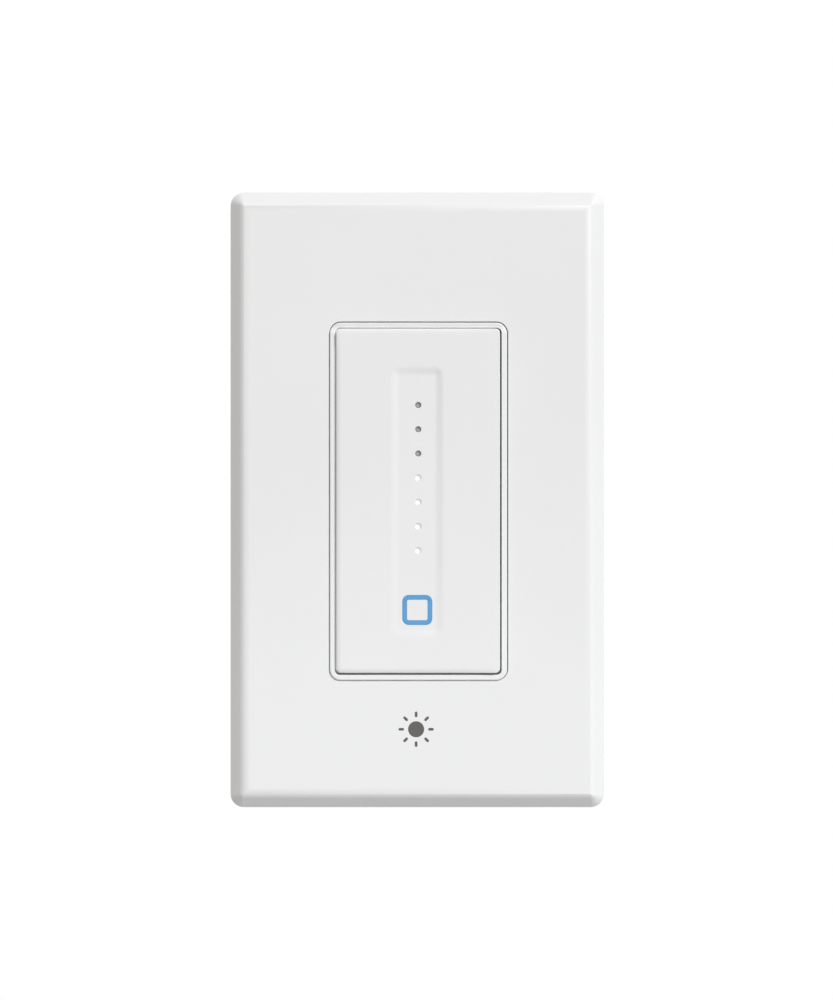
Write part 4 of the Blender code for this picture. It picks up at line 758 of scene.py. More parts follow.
# %% [markdown]
# ## The bezel frame
#
# Round the paddle runs a narrow glossy rim, the front end of the frame that carries the board and
# the paddle's hinge. Its profile closes on itself like the cover's: up the outside, over the rim's
# two rounds, down the bore, across the ledge, down the board's bay and back underneath. Half way it
# steps out in a thin lip behind the cover's collar. The bay is shorter than the bore, because a
# crossbar at the top carries the hinge ears, so its rings sit lower.

# %% The bezel frame
BOARD_FRONT, BAY_FLOOR, FRAME_BACK = -3.9, -2.6, -1.8
BAY_TOP, BAY_BOTTOM = 27.2, -31.55
BAY_WIDTH, BAY_CORNER, LEDGE = 29.4, 0.85, 1.2
HINGE_Y, HINGE_Z = -5.4, 29.0
UPPER_FALL = 0.34  # the upper bar falls inward, which gives it its slight shade
LIP = -3.45  # behind the cover's collar, to keep light and dust out of the gap
rim = [
    [(0.15, FRAME_BACK), (0.0, FRAME_BACK - 0.15)],
    [(0.0, LIP), (-0.66, LIP), (-0.7, LIP - 0.04)],
    [(-0.7, LIP - 0.16), (-0.66, LIP - 0.2), (0.0, LIP - 0.2)],
    quarter((0.0, BEZEL_FACE + 0.28), (0.28, BEZEL_FACE), "y", 6),
]
bore = [
    quarter((-0.16, BEZEL_FACE), (0.0, BEZEL_FACE + 0.16), "inset", 5),
    [(0.0, BOARD_FRONT)],
]
bay = [(0.0, BOARD_FRONT), (0.0, BAY_FLOOR), (LEDGE, BAY_FLOOR), (LEDGE, FRAME_BACK)]
bezel = Shape()
rim_rings = sweep(BEZEL_SIZE, 2.05, np.concatenate(rim), middle=BEZEL_MIDDLE)
bore_rings = sweep(OPENING_SIZE, 0.9, np.concatenate(bore), middle=OPENING_MIDDLE)
opening_top = OPENING_MIDDLE[1] + OPENING_SIZE[1] / 2
for rings in (rim_rings, bore_rings):
    y, z = rings[..., 1], rings[..., 2]
    upper_bar = np.clip((z - opening_top) / 0.9 + 1, 0, 1) * (y < BEZEL_FACE + 0.3)
    rings[..., 1] += UPPER_FALL * upper_bar * np.clip(opening_top + 1.03 - z, 0, 1)
bay_size = np.array([BAY_WIDTH, BAY_TOP - BAY_BOTTOM])
bay_middle = (0.0, (BAY_TOP + BAY_BOTTOM) / 2)
bay_rings = [
    sweep(bay_size - 2 * inset, BAY_CORNER, [(0.0, y)], middle=bay_middle)[0] for inset, y in bay
]
bezel.rings(np.concatenate([rim_rings, bore_rings, bay_rings, rim_rings[:1]]))
HOOK_X, HOOK_REACH = (15.1, 16.5), 1.2
EAR_X, EAR_HALF = (10.8, 13.2), 1.2
for side in (1, -1):
    ear_y = (HINGE_Y - EAR_HALF, BOARD_FRONT + 0.2)
    bezel.box(EAR_X, ear_y, around(HINGE_Z, EAR_HALF), 0.3, side)
    for z in (20.0, -20.0):
        bezel.box(HOOK_X, (FRAME_BACK - 0.2, HOOK_REACH), around(z, 3.0), 0.2, side)
        barb_x = (HOOK_X[1] - 0.3, HOOK_X[1] + 0.6)
        bezel.box(barb_x, (0.3, HOOK_REACH - 0.05), around(z, 2.8), 0.28, side)
bezel.piece("bezel_rim_frame", "body", "bezel_plastic", ["bezel_frame"])

# %% [markdown]
# ## The paddle
#
# The paddle is the piece a hand meets. Its front is worked out in bands. From outside in: a skirt,
# a rounded edge, a flat face, a soft slope down into the finger channel, and the channel's floor.
# The slope follows half a cosine wave, so it leaves the face and meets the floor without an edge,
# and shows only as a faint shade, as it should. The channel isn't equally deep all over: in the
# photograph its right and upper slopes shade clearly and its left and lower ones hardly show, so
# the whole floor leans by less than a degree.

# %% The paddle's bands
CHANNEL_MIDDLE = -0.4
CHANNEL_HALF = (3.2, 23.55)  # the floor's half width and half height
SLOPE = 1.9
CHANNEL_DEPTH = CHANNEL_FLOOR - PADDLE_FACE


def lean(x, z):
    """How much deeper than its mean the channel is at a place: more to the right and to the top."""
    up = (z - CHANNEL_MIDDLE) / CHANNEL_HALF[1]
    return CHANNEL_DEPTH * ((1 + 0.075 * x) * (1 + 0.35 * up) - 1)


def leaned(points):
    """Moves points in the channel and on its slopes by the lean, in step with their own depth."""
    x, y, z = np.moveaxis(points, -1, 0)
    inside = (abs(x) < CHANNEL_HALF[0] + SLOPE + 0.1) & (y < CHANNEL_FLOOR + 0.4)
    share = np.clip((y - PADDLE_FACE) / CHANNEL_DEPTH, 0, 1) * inside
    return np.stack([x, y + share * lean(x, z), z], -1)


cell_half, cuts = LAMP_PITCH / 2, 8  # cuts: the parts along each border of a cell
lamp_rows = LAMP_Z[:, None] + np.linspace(-cell_half, cell_half, cuts + 1)[None, :]
square_top, square_bottom = -17.25, CHANNEL_MIDDLE - CHANNEL_HALF[1]
square_row = np.linspace(square_bottom, square_top, cuts + 1)
spare_row = np.linspace(square_top, LAMP_Z[-1] - cell_half, 5)
top_row = np.linspace(LAMP_Z[0] + cell_half, CHANNEL_MIDDLE + CHANNEL_HALF[1], 4)
rows = np.unique(np.concatenate([square_row, spare_row, lamp_rows.ravel(), top_row]).round(6))
side_cuts = (rows[1:-1] - CHANNEL_MIDDLE) / CHANNEL_HALF[1]
top_cuts = np.linspace(-1, 1, cuts + 1)[1:-1]
share = np.linspace(0, 1, 13)
slope = np.stack([SLOPE * share, PADDLE_FACE + CHANNEL_DEPTH * (1 - np.cos(np.pi * share)) / 2], -1)
print("rows on the channel's floor:", len(rows))

# %% [markdown]
# The floor is pierced by seven lamp holes and a square one. A grid can't have holes, so the floor
# is laid out as cells, one for each hole, whose grids run from the cell's border to the hole's rim.
# The cells share border points, so the floor stays one surface.


# %% The paddle's floor cells
def border(half_width, z_low, z_high):
    """A rectangle's border as 4 * cuts points x, z, from the middle of its right side."""
    x = np.array([1, 1, -1, -1]) * half_width
    corners = np.stack([x, [z_low, z_high, z_high, z_low]], -1)
    share = np.linspace(0, 1, cuts, endpoint=False)[:, None]
    sides = [a + (b - a) * share for a, b in zip(corners, np.roll(corners, -1, axis=0))]
    return np.roll(np.concatenate(sides), -cuts // 2, axis=0)


def cell(edge, hole, depths, level):
    """From a cell's border at a level to a hole's rim, then down the hole: rings (i, n, 3).

    Between border and rim a point is their weighted mean, and the rings crowd towards the rim,
    where the hole's edge turns: its weight is 1 - (1 - i / 4) ** 1.6.
    """
    w = 1 - (1 - np.linspace(0, 1, 5)) ** 1.6
    flat = edge + (hole(depths[0][0]) - edge) * w[:, None, None]
    floor = np.insert(flat, 1, level, axis=2)
    down = [np.insert(hole(grow), 1, y, axis=1) for grow, y in depths]
    return np.concatenate([floor, down])


def round_hole(z, radius):
    """A circle whose 4 * cuts points face the border's points."""
    a = full_turn(4 * cuts)
    ring = np.stack([np.cos(a), np.sin(a)], -1)
    return lambda grow: ring * (radius + grow) + [LAMP_X, z]


LAMP_HOLE, COUNTERBORE, BORE_DEPTH = 0.55, 1.0, -7.3  # radii, and where the wider bore begins
SQUARE_HOLE, SQUARE_CORNER = 5.58, 1.19


def square_hole(grow):
    """A rounded square with as many points, anticlockwise from the middle of its right side."""
    size, corner = (SQUARE_HOLE + 2 * grow,) * 2, SQUARE_CORNER + grow
    ring = outline(*size, corner, steps=cuts - 2, side=(0.0,), top=(0.0,), middle=(0.0, SQUARE_Z))
    return np.roll(ring, 1, axis=0)


paddle = Shape()
lip = [*quarter((0.07, CHANNEL_FLOOR), (0.0, CHANNEL_FLOOR + 0.07), "inset", 3)]
step_out = COUNTERBORE - LAMP_HOLE
lamp_depths = lip + [(0.0, BORE_DEPTH), (step_out, BORE_DEPTH), (step_out, PADDLE_BACK)]
through = [(0.0, PADDLE_BACK)]


def pierced(hole, depths, back_hole, z_low, z_high):
    """Adds a cell of the floor, with the same cell of the paddle's back behind it."""
    edge = border(CHANNEL_HALF[0], z_low, z_high)
    paddle.rings(leaned(cell(edge, hole, depths, CHANNEL_FLOOR)))
    paddle.rings(cell(edge, back_hole, through, PADDLE_BACK)[::-1])


for z, heights in zip(LAMP_Z, lamp_rows):
    holes = round_hole(z, LAMP_HOLE), round_hole(z, COUNTERBORE)
    pierced(holes[0], lamp_depths, holes[1], heights[0], heights[-1])
pierced(square_hole, lip + through, square_hole, square_bottom, square_top)
for strip in (spare_row, top_row):
    x, z = np.meshgrid(np.linspace(-CHANNEL_HALF[0], CHANNEL_HALF[0], cuts + 1), strip)
    paddle.grid(leaned(np.stack([x, np.full(x.shape, CHANNEL_FLOOR), z], -1)))
    paddle.grid(np.stack([x, np.full(x.shape, PADDLE_BACK), z], -1)[::-1])

# %% [markdown]
# The bands round the floor are one sweep for the front and one for the hollow behind it. The skirt
# steps out low down, as a stop for stray light: it closes the gap to the bezel, which then reads as
# a fine grey line instead of a black slot. The foot's gap is the widest, so it stays the darkest.

# %% The paddle
SKIRT_END, STOP_FRONT, CORNER = -4.9, -7.11, 1.0
CROWN_END, CROWN_FALL = 0.9, 0.2  # near its border the face falls by a fifth of a millimetre
crown = np.linspace(0.05, CROWN_END, 10)
fallen = PADDLE_FACE + CROWN_FALL * ((CROWN_END - crown) / (CROWN_END - crown[0])) ** 2
edge_round = [(0.0, PADDLE_FACE + 0.32), (0.015, PADDLE_FACE + 0.25), *zip(crown, fallen)]
stop = [(0.06, SKIRT_END), (0.0, SKIRT_END - 0.06), (0.0, STOP_FRONT + 0.06), (0.06, STOP_FRONT)]
stop_size, stop_middle = (30.80, 64.40), (0.09, -0.17)
fine = {"side": side_cuts, "top": top_cuts}
slope_size = np.add(CHANNEL_HALF, SLOPE) * 2
down_slope = leaned(sweep(slope_size, SLOPE, slope, middle=(0.0, CHANNEL_MIDDLE), **fine))
REST_X, REST_Z = 0.165, -0.2275  # its play lets it settle a little off the middle


def round_paddle(profile):
    """Carries a profile round the paddle's own outline."""
    return sweep(PADDLE_SIZE, CORNER, profile, middle=(REST_X, REST_Z), **fine)


edge_rings = round_paddle(edge_round)
to_right = REST_X + PADDLE_SIZE[0] / 2 - edge_rings[..., 0]
to_top = REST_Z + PADDLE_SIZE[1] / 2 - edge_rings[..., 2]
flatter = np.clip(to_right / 4, 0.05, 1.0) * np.clip(to_top / 4, 0.5, 1.0)
edge_rings[..., 1] = PADDLE_FACE + (edge_rings[..., 1] - PADDLE_FACE) * flatter
paddle_front = [
    round_paddle([(0.35, SKIRT_END)]),
    sweep(stop_size, 0.88, stop, middle=stop_middle, **fine),
    round_paddle([(0.0, STOP_FRONT)]),
    edge_rings,
    down_slope,
]
paddle.rings(np.concatenate(paddle_front))
SKIN = 1.2  # the skirt's thickness
hollow = [(SKIN, PADDLE_BACK), (SKIN, SKIRT_END - 0.06)]
hollow += [(SKIN - 0.06, SKIRT_END), (0.35, SKIRT_END)]
back_floor = down_slope[-1:] * [1, 0, 1] + [0.0, PADDLE_BACK, 0.0]
paddle.rings(np.concatenate([back_floor, round_paddle(hollow)]))
print("bands of the paddle's front:", sum(len(band) for band in paddle_front), "rings")

# %% [markdown]
# Pins, bosses and knuckles are round, and what is round is quickest made as on a lathe: a profile
# of radius and place along an axis is carried round that axis.


# %% Turned shapes
def turned(profile, at, axis="Y", sides=32):
    """Rings (i, n, 3) of a surface of revolution: profile rows are (radius, place along the axis).

    A point is at + radius * (cos a, sin a) across the axis, for a round a full turn. For the axis
    Y the rings run anticlockwise as seen from the room, and for X and Z as seen from its far end.
    """
    profile, a = np.asarray(profile, float), full_turn(sides)
    u, w = np.cos(a) * profile[:, :1], np.sin(a) * profile[:, :1]
    along = np.broadcast_to(profile[:, 1:], u.shape)
    order = {"Y": (u, along, w), "X": (along, u, w), "Z": (w, u, along)}[axis]
    return np.stack(order, -1) + at


# %% [markdown]
# Behind its face the moulding carries two rails for the lamp bar, two spigots for the springs, a
# boss that meets the switch and two lugs for the hinge pin. They are sunk a little into the shell
# and are patches of their own, because nobody sees how they join it.

# %% Rails, spigots, lugs and boss behind the face
SPRING_X, SPRING_Z = 10.5, -27.5
LUG_X, LUG_HALF, BOSS_Z = 7.5, 2.0, -27.6
ROOT = PADDLE_BACK - 0.2  # they start inside the face
LAMP_SPAN = (LAMP_Z[-1] - 1.7, LAMP_Z[0] + 1.7)
spigot = [(0.7, ROOT), (0.7, -5.85), (0.62, -5.73), (0.5, -5.7), (0.0, -5.7)]
boss = [(1.3, ROOT), (1.3, -6.65), (1.2, -6.52), (1.0, -6.5), (0.0, -6.5)]
knuckle = [(0.8, -2.0), (1.1, -2.0), (1.2, -1.9), (1.2, 1.9), (1.1, 2.0), (0.8, 2.0), (0.8, -2.0)]
for side in (1, -1):
    paddle.box((1.8, 2.8), (ROOT, PADDLE_BACK + 1.5), LAMP_SPAN, 0.12, side)
    paddle.stud(turned(spigot, (side * SPRING_X, 0.0, SPRING_Z))[:, ::-1])
    lug = around(LUG_X, LUG_HALF), (ROOT, HINGE_Y - 0.7), around(HINGE_Z, 1.2)
    paddle.box(*lug, 0.12, side)
    paddle.rings(turned(knuckle, (side * LUG_X, HINGE_Y, HINGE_Z), "X")[:, ::-1])
paddle.stud(turned(boss, (0.0, 0.0, BOSS_Z))[:, ::-1])
paddle.piece("finger_paddle", "paddle", "white_plastic", ["paddle"])

# %% [markdown]
# ## Lamps in the paddle
#
# The clear bar lies behind the holes and a pin stands in each. The pins stop two fifths of a
# millimetre short of the floor: a flush pin would read as a printed dot, while this one leaves the
# small crescent of shade that the real holes show on the side the light comes from. The blue lens
# is a ring on a square flange, and the key fills the ring. Both are flush with the channel's floor.

# %% Lamp bar, blue lens and square key
PIN_SHORT = 0.40  # of the channel's floor
bar = Shape()
bar.box((-1.5, 1.5), (-6.5, -5.4), LAMP_SPAN, 0.12)
for z in LAMP_Z:
    tip = CHANNEL_FLOOR + lean(LAMP_X, z) + PIN_SHORT
    pin = [(0.7, -6.4), (0.7, -6.95), (0.66, -7.0), (0.52, -7.0), (0.52, tip + 0.05)]
    pin += [(0.50, tip + 0.015), (0.45, tip), (0.25, tip - 0.02), (0.0, tip - 0.025)]
    bar.stud(turned(pin, (LAMP_X, 0.0, z)))
bar.piece("lamp_bar", "paddle", "clear_plastic", ["light_guide"], finish="lamp_guide")

LENS, LENS_CORNER, STROKE, FLANGE = 5.52, 1.16, 0.80, 0.59
LENS_FACE = CHANNEL_FLOOR + lean(0.0, SQUARE_Z)
lens = Shape()
lens_profile = [
    [(0.1, -5.9), (0.0, -6.0), (0.0, -6.42), (0.08, -6.5), (FLANGE, -6.5)],
    quarter((FLANGE, LENS_FACE + 0.06), (FLANGE + 0.06, LENS_FACE), "y", 3),
    quarter((FLANGE + STROKE - 0.05, LENS_FACE), (FLANGE + STROKE, LENS_FACE + 0.05), "inset", 3),
    [(FLANGE + STROKE, -6.5)],
]
flange_size = (LENS + 2 * FLANGE,) * 2
at_square = {"middle": (0.0, SQUARE_Z)}
lens.solid(sweep(flange_size, LENS_CORNER + FLANGE, np.concatenate(lens_profile), **at_square))
lens.piece("blue_square_lens", "paddle", "blue_lens", ["ring_lens"])

key = Shape()
key_size = (LENS - 2 * STROKE - 0.06,) * 2
key_round = quarter((0.0, LENS_FACE + 0.07), (0.07, LENS_FACE), "y", 3)
key.solid(sweep(key_size, 0.34, np.concatenate([[(0.0, PADDLE_BACK)], key_round]), **at_square))
key.piece("square_key_cap", "paddle", "white_plastic", ["square_key"])

# %% [markdown]
# ## Screws
#
# A screw looks real through two things: its recess and its thread. A head is a dome given as a
# height over a disc, so the recess is one more term in that height. For a slot the disc is cut into
# straight strips, so the slot's walls follow its edges; for a cross recess a square grid is pressed
# into the disc, and its arms taper outwards as real ones do. The thread is a tube whose radius
# rises and falls with the place along the axis less the turn, which is what makes it a helix and
# not a row of rings.


# %% Screw heads
RIM_SHARE, SLOT_SHARE, CROSS_DEPTH = 0.34, 0.42, 0.62  # shares of a head's height
CROSS_REACH, CROSS_TAPER = 0.62, 2.2


def head_face(kind, radius, height):
    """The face of a head on -Y: a grid (i, j, 3) and the ring (n, 3) round its rim.

    dome: y = -(rim + (height - rim) * sqrt(1 - r ** 2.4)), r from 0 at the middle to 1 at the rim.
    slot: x = u, z = v * sqrt(1 - u * u); cross: x = u * sqrt(1 - v * v / 2), z likewise.
    """
    slotted = kind == "slot"
    half, step = (0.13, 0.012) if slotted else (0.12, 0.02)
    outer = np.linspace(half + step, 1, 8)
    u = np.concatenate([-outer[::-1], np.linspace(-half, half, 5), outer])
    u, v = np.meshgrid(u, np.linspace(-1, 1, 17) if slotted else u)
    if slotted:
        x, z = u, v * np.sqrt(1 - u * u)
    else:
        x, z = u * np.sqrt(1 - v * v / 2), v * np.sqrt(1 - u * u / 2)
    r = np.minimum(np.hypot(x, z), 1)
    rim = RIM_SHARE * height
    dome = rim + (height - rim) * np.sqrt(np.maximum(1 - r**2.4, 0))
    in_u, in_v = abs(u) <= half + 1e-9, abs(v) <= half + 1e-9
    if slotted:
        y = np.where(in_u, np.minimum(dome, SLOT_SHARE * height), dome)
    else:
        arm = np.maximum(in_u * (1 - abs(v) / CROSS_REACH), in_v * (1 - abs(u) / CROSS_REACH))
        y = dome - CROSS_DEPTH * height * np.clip(arm * CROSS_TAPER, 0, 1)
    face = np.stack([x * radius, -y, z * radius], -1)
    rim_parts = [face[-1, ::-1], face[0, 1:-1]]
    if not slotted:
        rim_parts = [face[:-1, -1], face[-1, :0:-1], face[:0:-1, 0], face[0, :-1]]
    return face, np.concatenate(rim_parts)


def thread(radius, depth, pitch, start, end):
    """A helical shank from start to end along +Y, as rings that run from its tip to the head.

    radius(a, y) = radius - depth * wave, wave falling and rising once in each y / pitch - a / turn.
    Over the last pitch the radius tapers by a third, to a blunt tip.
    """
    count = int(8 * (end - start) / pitch)
    y, a = np.meshgrid(np.linspace(end, start, count), full_turn(24), indexing="ij")
    wave = abs(2 * ((y / pitch - a / (2 * np.pi)) % 1) - 1)
    r = radius - depth * (1 - np.minimum(wave * 1.25, 1))
    r = r - np.clip((y - end) / pitch + 1, 0, 1) * radius * 0.35
    return np.stack([r * np.cos(a), y, r * np.sin(a)], -1)


FACING = {  # turns what faces -Y to face another way
    "-Y": np.eye(3),
    "+Y": np.diag([-1.0, -1.0, 1.0]),
    "+X": np.array([[0, 1, 0], [-1, 0, 0], [0, 0, 1.0]]),
    "-X": np.array([[0, -1, 0], [1, 0, 0], [0, 0, 1.0]]),
    "-Z": np.array([[1, 0, 0], [0, 0, 1], [0, -1, 0.0]]),
}


def screw(name, node, at, facing, turn, size, slot="steel", kind="slot"):
    """A screw whose head's seat is at a point, its recess turned by some degrees.

    size is the shank's radius and length, then the head's radius and height.
    """
    shank, length, head, height = size
    face, ring = head_face(kind, head, height)
    c, s = math.cos(math.radians(turn)), math.sin(math.radians(turn))
    spin = np.array([[c, 0, s], [0, 1, 0], [-s, 0, c]]) @ FACING[facing]
    seat = ring * [1, 0, 1]
    under_head = np.stack([seat * (shank / head), seat * 0.97, seat - [0, 0.06, 0], ring])
    helix = thread(shank, 0.28 * shank, 0.47 * shank, -0.02, length)
    part = Shape()
    part.grid(face @ spin + at)
    part.stud(under_head @ spin + at)
    part.solid(helix @ spin + at)
    return part.piece(name, "body", slot, [node], sharp=50.0)


def box_of(node):
    """A solid's low and high corner in millimetres, and its middle."""
    low, high = np.array(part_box(node)) / MM
    return low, high, (low + high) / 2

# %% [markdown]
# Each screw stands where its solid does: the long ones reach into the wall box, the short ones hold
# the inner plate, four close the housing, and three wires and the ground are clamped by one each. A
# driver never leaves two slots in line, so every recess is turned by its own angle.

# %% All the screws
DEVICE, COVER, CLOSING = (1.7, 21.8, 3.7, 1.6), (1.7, 4.9, 3.5, 1.2), (1.2, 10.0, 2.2, 1.6)
WIRE, GROUND = (1.7, 2.9, 3.4, 2.2), (1.7, 2.6, 3.4, 2.2)
for end, side in (("top", 1), ("bottom", -1)):
    at = (0, -1.8, side * 41.65)
    screw(f"device_screw_{end}", f"box_screw_{end}", at, "-Y", 12.0 * side, DEVICE)
    at = (0, -2.9, side * 48.4)
    screw(f"cover_screw_{end}", f"plate_screw_{end}", at, "-Y", 30.0 + 40 * side, COVER)
for i, node in enumerate(sorted(n for n in frame["nodes"] if n.startswith("housing_screw_"))):
    low, high, middle = box_of(node)
    at = (middle[0], high[1] - CLOSING[3], middle[2])
    screw(f"housing_closing_screw_{i + 1}", node, at, "+Y", 17.0 * i, CLOSING, kind="cross")
wires = ("line", "brass", 64.0), ("load", "steel", 98.0), ("neutral", "steel", 41.0)
for end, slot, turn in wires:
    node = f"terminal_screw_{end}"
    low, high, middle = box_of(node)
    head_x, facing = (high[0] - WIRE[3], "+X") if low[0] > 0 else (low[0] + WIRE[3], "-X")
    at = (head_x, *middle[1:])
    screw(f"wire_screw_{end}", node, at, facing, turn, WIRE, slot)
low, high, middle = box_of("ground_screw")
at = (*middle[:2], low[2] + GROUND[3])
screw("green_ground_screw", "ground_screw", at, "-Z", 75.0, GROUND, "green_screw")

# %% [markdown]
# ## Solids that keep their shape
#
# The box, the strap, the inner plate and the brass terminals already have the right shape, with all
# their slots and wells. What gives a plain solid away is its facets and its knife edges, since no
# moulded or punched edge is truly sharp. So each one is copied, its loose triangles are welded and
# merged to whole faces, and a Bevel modifier rounds every real edge by a sixth to a third of a
# millimetre, which draws the thin line of light that the eye expects there.


# %% Softened copies
SAME_POINT, FLAT_WITHIN, BEVEL_FROM = 2e-6, math.radians(1.0), 32.0  # metres, radians, degrees


def softened(node, name, slot, ease):
    """A welded copy of a solid that stands for it, its edges rounded by ease in millimetres."""
    mesh = frame["nodes"][node].data.copy()
    mesh.name = name
    if "custom_normal" in mesh.attributes:
        mesh.attributes.remove(mesh.attributes["custom_normal"])  # they hold the flat shading
    work = bmesh.new()
    work.from_mesh(mesh)
    bmesh.ops.remove_doubles(work, verts=work.verts, dist=SAME_POINT)
    bmesh.ops.dissolve_limit(work, angle_limit=FLAT_WITHIN, verts=work.verts, edges=work.edges)
    work.to_mesh(mesh)
    work.free()
    piece = dress(mesh, "body", [node], slot, BEVEL_FROM)
    round_off = piece.modifiers.new("round_edges", "BEVEL")
    round_off.width, round_off.segments = ease * MM, 2
    round_off.limit_method, round_off.angle_limit = "ANGLE", math.radians(BEVEL_FROM)
    piece.modifiers.move(1, 0)  # before the even normals


softened("rear_housing", "wall_box_housing", "housing_plastic", 0.30)
softened("mounting_strap", "punched_strap", "aluminium", 0.16)
softened("sub_plate", "inner_press_plate", "inner_plastic", 0.15)
for end in ("line", "load", "neutral"):
    softened(f"terminal_plate_{end}", f"wire_clamp_{end}", "brass", 0.14)

# %% [markdown]
# ## Moulded ribs on the box
#
# Large flat walls of a moulding sink as they cool, so a toolmaker breaks them up: with ribs along
# the direction in which the box leaves its tool, a raised frame round the vents and a fine line
# where the tool's halves meet. They are under half a millimetre high, too small for the plain
# solid, so they are added here. A rib is a block with eased edges, and the frame and the line are
# closed profiles carried round a rounded rectangle.

# %% Ribs, vent frame and parting line
RIB_HALF, RIB_HIGH, RIB_SUNK, RIB_EASE, RIB_Y = 0.45, 0.35, 0.3, 0.12, (4.5, 28.5)
FRAME_SIZE, FRAME_WIDTH = (17.0, 24.0), 0.9  # round the vents


def rib_on(face):
    """The ends of a rib across a face: sunk into it and standing on it."""
    return face - RIB_SUNK, face + RIB_HIGH


ribs = Shape()
for side in (1, -1):
    free_z = (-4.5, -1.5, 1.5, 4.5) + ((10.5, 13.5, 16.5) if side > 0 else ())
    for z in free_z:
        ribs.box(rib_on(HOUSING_HALF[0]), RIB_Y, around(z, RIB_HALF), RIB_EASE, side)
    for x in (-9.0, -3.0, 3.0, 9.0):
        end_z = np.multiply(side, rib_on(HOUSING_HALF[1]))
        ribs.box(around(x, RIB_HALF), RIB_Y, end_z, RIB_EASE)
for z in (-24.0, 24.0):  # a bar with a short stop across each end
    for x, half_x, half_z in ((0.0, 8.0, 0.4), (-8.0, 0.4, 1.6), (8.0, 0.4, 1.6)):
        ribs.box(around(x, half_x), rib_on(HOUSING_BACK), around(z, half_z), RIB_EASE)

foot, top = rib_on(HOUSING_BACK)
band = [(0, foot), (FRAME_WIDTH, foot), (FRAME_WIDTH, top - 0.1)]
band += [(FRAME_WIDTH - 0.1, top), (0.1, top), (0, top - 0.1)]
ribs.rings(sweep(FRAME_SIZE, 2.0, band)[::-1], closed=True)
parting = [(0.2, 9.9), (-0.1, 9.9), (-0.14, 9.94), (-0.14, 10.12), (-0.1, 10.16), (0.2, 10.16)]
ribs.rings(sweep(np.multiply(HOUSING_HALF, 2), 3.0, parting)[::-1], closed=True)
ribs.piece("moulded_box_ribs", "body", "housing_plastic")

# %% [markdown]
# ## Return springs
#
# Two small coil springs push the paddle's foot back out. Each is a round wire carried along a helix
# whose first and last turn lie close, as a real spring's do, so that it stands flat on the board.

# %% Coil springs
COIL_RADIUS, WIRE_RADIUS, COIL_TURNS = 1.35, 0.18, 4.5
SPRING_FOOT, SPRING_TIP = -3.93, -6.77


def coil():
    """Rings [i, j] of a wire on a helix, in millimetres.

    The centre is R (cos a, sin a) across and y(a) along, y the running sum of a pitch that is one
    wire thick in the end turns. A ring's points are centre + r (cos b * out + sin b * across).
    """
    turn = np.linspace(0, COIL_TURNS, int(COIL_TURNS * 24) + 1)
    from_end = np.minimum(turn, COIL_TURNS - turn)
    pitch = 1 + 1.2 * np.clip((from_end - 0.7) / 0.6, 0, 1)
    share = np.concatenate([[0.0], np.cumsum((pitch[1:] + pitch[:-1]) / 2)])
    first, last = SPRING_FOOT - WIRE_RADIUS, SPRING_TIP + WIRE_RADIUS
    along = first + (last - first) * share / share[-1]
    a = 2 * np.pi * turn
    out = np.stack([np.cos(a), 0 * a, np.sin(a)], -1)
    centre = COIL_RADIUS * out + np.stack([0 * a, along, 0 * a], -1)
    ahead = np.gradient(centre, axis=0)
    across = np.cross(ahead / np.linalg.norm(ahead, axis=1)[:, None], out)
    b = full_turn(10)[None, :, None]
    return centre[:, None] + WIRE_RADIUS * (np.cos(b) * out[:, None] + np.sin(b) * across[:, None])


for side, label in ((1, "right"), (-1, "left")):
    spring = Shape()
    spring.solid(coil() + [side * SPRING_X, 0.0, SPRING_Z])
    piece = spring.piece(f"coil_spring_{label}", "body", "steel", [f"return_spring_{label}"])
    foot = (side * SPRING_X * MM, SPRING_FOOT * MM, SPRING_Z * MM)
    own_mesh(piece)

# %% [markdown]
# ## Light, floor and camera
#
# The photograph was taken straight on, from far away, in soft light with a stronger source high on
# the right: the plate's right and top slants are bright and its left and lower ones are in half
# shade. One broad lamp gives that direction, the white room around fills the rest, and a weak lamp
# behind keeps the back readable. The face is a little brighter towards its foot, so a weak spot
# shines on it from the front and fades out upwards. The lamps stay at a plain level, where a colour
# comes out about as it is written. The room lights the switch in a faint warm tint and the broad
# lamp in a faint cool one, so that the shade is warmer than the face, as in the photograph, while
# the face itself stays neutral.

# %% Lamps and room
scene = bpy.context.scene
scene.view_settings.view_transform = "Standard"


def aim(holder, at, target=(0.0, 0.0, 0.0)):
    """Puts a lamp or camera at a point, looking at another, both in metres."""
    at, target = np.array(at), np.array(target)
    back = (at - target) / np.linalg.norm(at - target)
    side = np.cross((0.0, 0.0, 1.0), back)
    side /= np.linalg.norm(side)
    turn = np.stack([side, np.cross(back, side), back], -1)
    matrix = np.eye(4)
    matrix[:3, :3], matrix[:3, 3] = turn, at
    holder.matrix_world = Matrix(matrix.tolist())


def lamp(name, kind, places, **settings):
    """A lamp with its settings; places are where it stands and, if not the origin, its target."""
    light = bpy.data.lights.new(name, kind)
    for key, value in settings.items():
        setattr(light, key, value)
    aim(shown(name, light), *places)


key_look = {"energy": 2.27, "angle": math.radians(18), "color": (0.955, 0.992, 1.0)}
spot_look = {"energy": 4.3, "spot_size": 2 * math.atan(0.32 / 1.53), "spot_blend": 0.36}
lamp("key_light", "SUN", [(0.506, -0.714, 0.484)], **key_look)
lamp("back_fill", "SUN", [(-0.5, 0.75, 0.45)], energy=1.1, angle=math.radians(40))
spot_places = [(0.0, -1.5, 0.0), (0.0, 0.0, -0.30)]
lamp("low_fill", "SPOT", spot_places, shadow_soft_size=0.01, **spot_look)


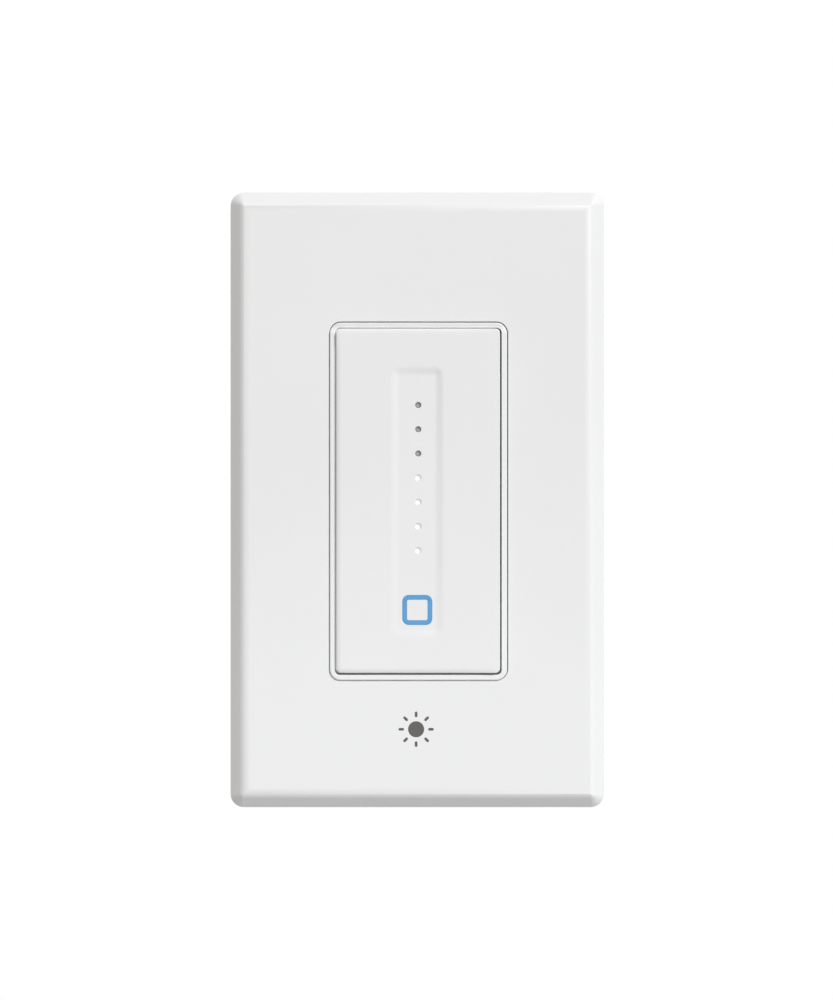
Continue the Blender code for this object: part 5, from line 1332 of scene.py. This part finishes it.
def seen(web):
    """1 for what the camera sees, itself or through gloss and glass, and 0 for what only lights."""
    kinds = ("Camera", "Glossy", "Transmission")
    first, *others = (web.node("ShaderNodeLightPath", out=f"Is {kind} Ray") for kind in kinds)
    return sum(others, first).clamped()


scene.world = bpy.data.worlds.new("white_room")
room = Web(scene.world)
sky = room.mix(seen(room), (0.436, 0.418, 0.411), (1.0, 1.0, 1.0))
glow = room.node("ShaderNodeBackground", inputs={"Color": sky, "Strength": 1.0})
room.node("ShaderNodeOutputWorld", inputs={"Surface": glow})

# %% [markdown]
# The floor is a pale disc a hand's width below the switch, which hangs free so that it can be seen
# from behind as well. Its rim fades out into the white room, so that no horizon cuts the picture
# from any side, and the shadow of the switch stays on it. It throws back no more light than the
# room does, or the plate's lower slant would lose its shade, and from underneath it can't be seen
# at all.

# %% Floor
FLOOR_Z, FLOOR_RADIUS = -130.0, 350.0
floor = Shape()
floor.cap(turned([(FLOOR_RADIUS, FLOOR_Z)], (0.0, 0.0, 0.0), "Z", 96)[0][::-1])
pale_floor = shown("pale_floor", floor.mesh("pale_floor"))
f = Finish("pale_floor")
radius = (f.x * f.x + f.y * f.y) ** 0.5
fade = f.step(radius, 0.55 * FLOOR_RADIUS, 0.98 * FLOOR_RADIUS)
pale = f.mix(seen(f), (0.42, 0.42, 0.42), (0.94, 0.94, 0.94))
paint = f.node("ShaderNodeBsdfDiffuse", inputs={"Color": pale})
under = f.node("ShaderNodeNewGeometry", out="Backfacing")
nothing = f.node("ShaderNodeBsdfTransparent")
blend = f.node("ShaderNodeMixShader", inputs={0: (fade + under).clamped(), 1: paint, 2: nothing})
f.node("ShaderNodeOutputMaterial", inputs={"Surface": blend})
pale_floor.data.materials.append(f.material)
print("floor at", FLOOR_Z, "mm, its normal up:", pale_floor.data.polygons[0].normal.z > 0)

# %% [markdown]
# The camera stands far off, as a long lens does in a product photograph, so the sides hardly show.
# Its focal length follows from two measures: the distance, and the 0.187 mm of the plate's face
# that one pixel of the photograph covers.

# %% Camera
PIXEL = 0.187 * MM  # what one pixel of the photograph covers at the plate's face
PICTURE_HEIGHT, SENSOR, AWAY = 1000, 36.0, 1.6  # pixels, millimetres, metres
camera_data = bpy.data.cameras.new("camera")
camera_data.sensor_width = SENSOR
camera_data.lens = SENSOR * (AWAY + PLATE_FACE * MM) / (PIXEL * PICTURE_HEIGHT)
camera_data.clip_start = 0.05
scene.camera = shown("camera", camera_data)
middle_x, middle_z = -0.7 * PIXEL, -0.15 * PIXEL  # the plate is this far off the picture's middle
aim(scene.camera, (middle_x, -AWAY, middle_z), (middle_x, 0.0, middle_z))
print("lens in mm:", round(camera_data.lens, 1))
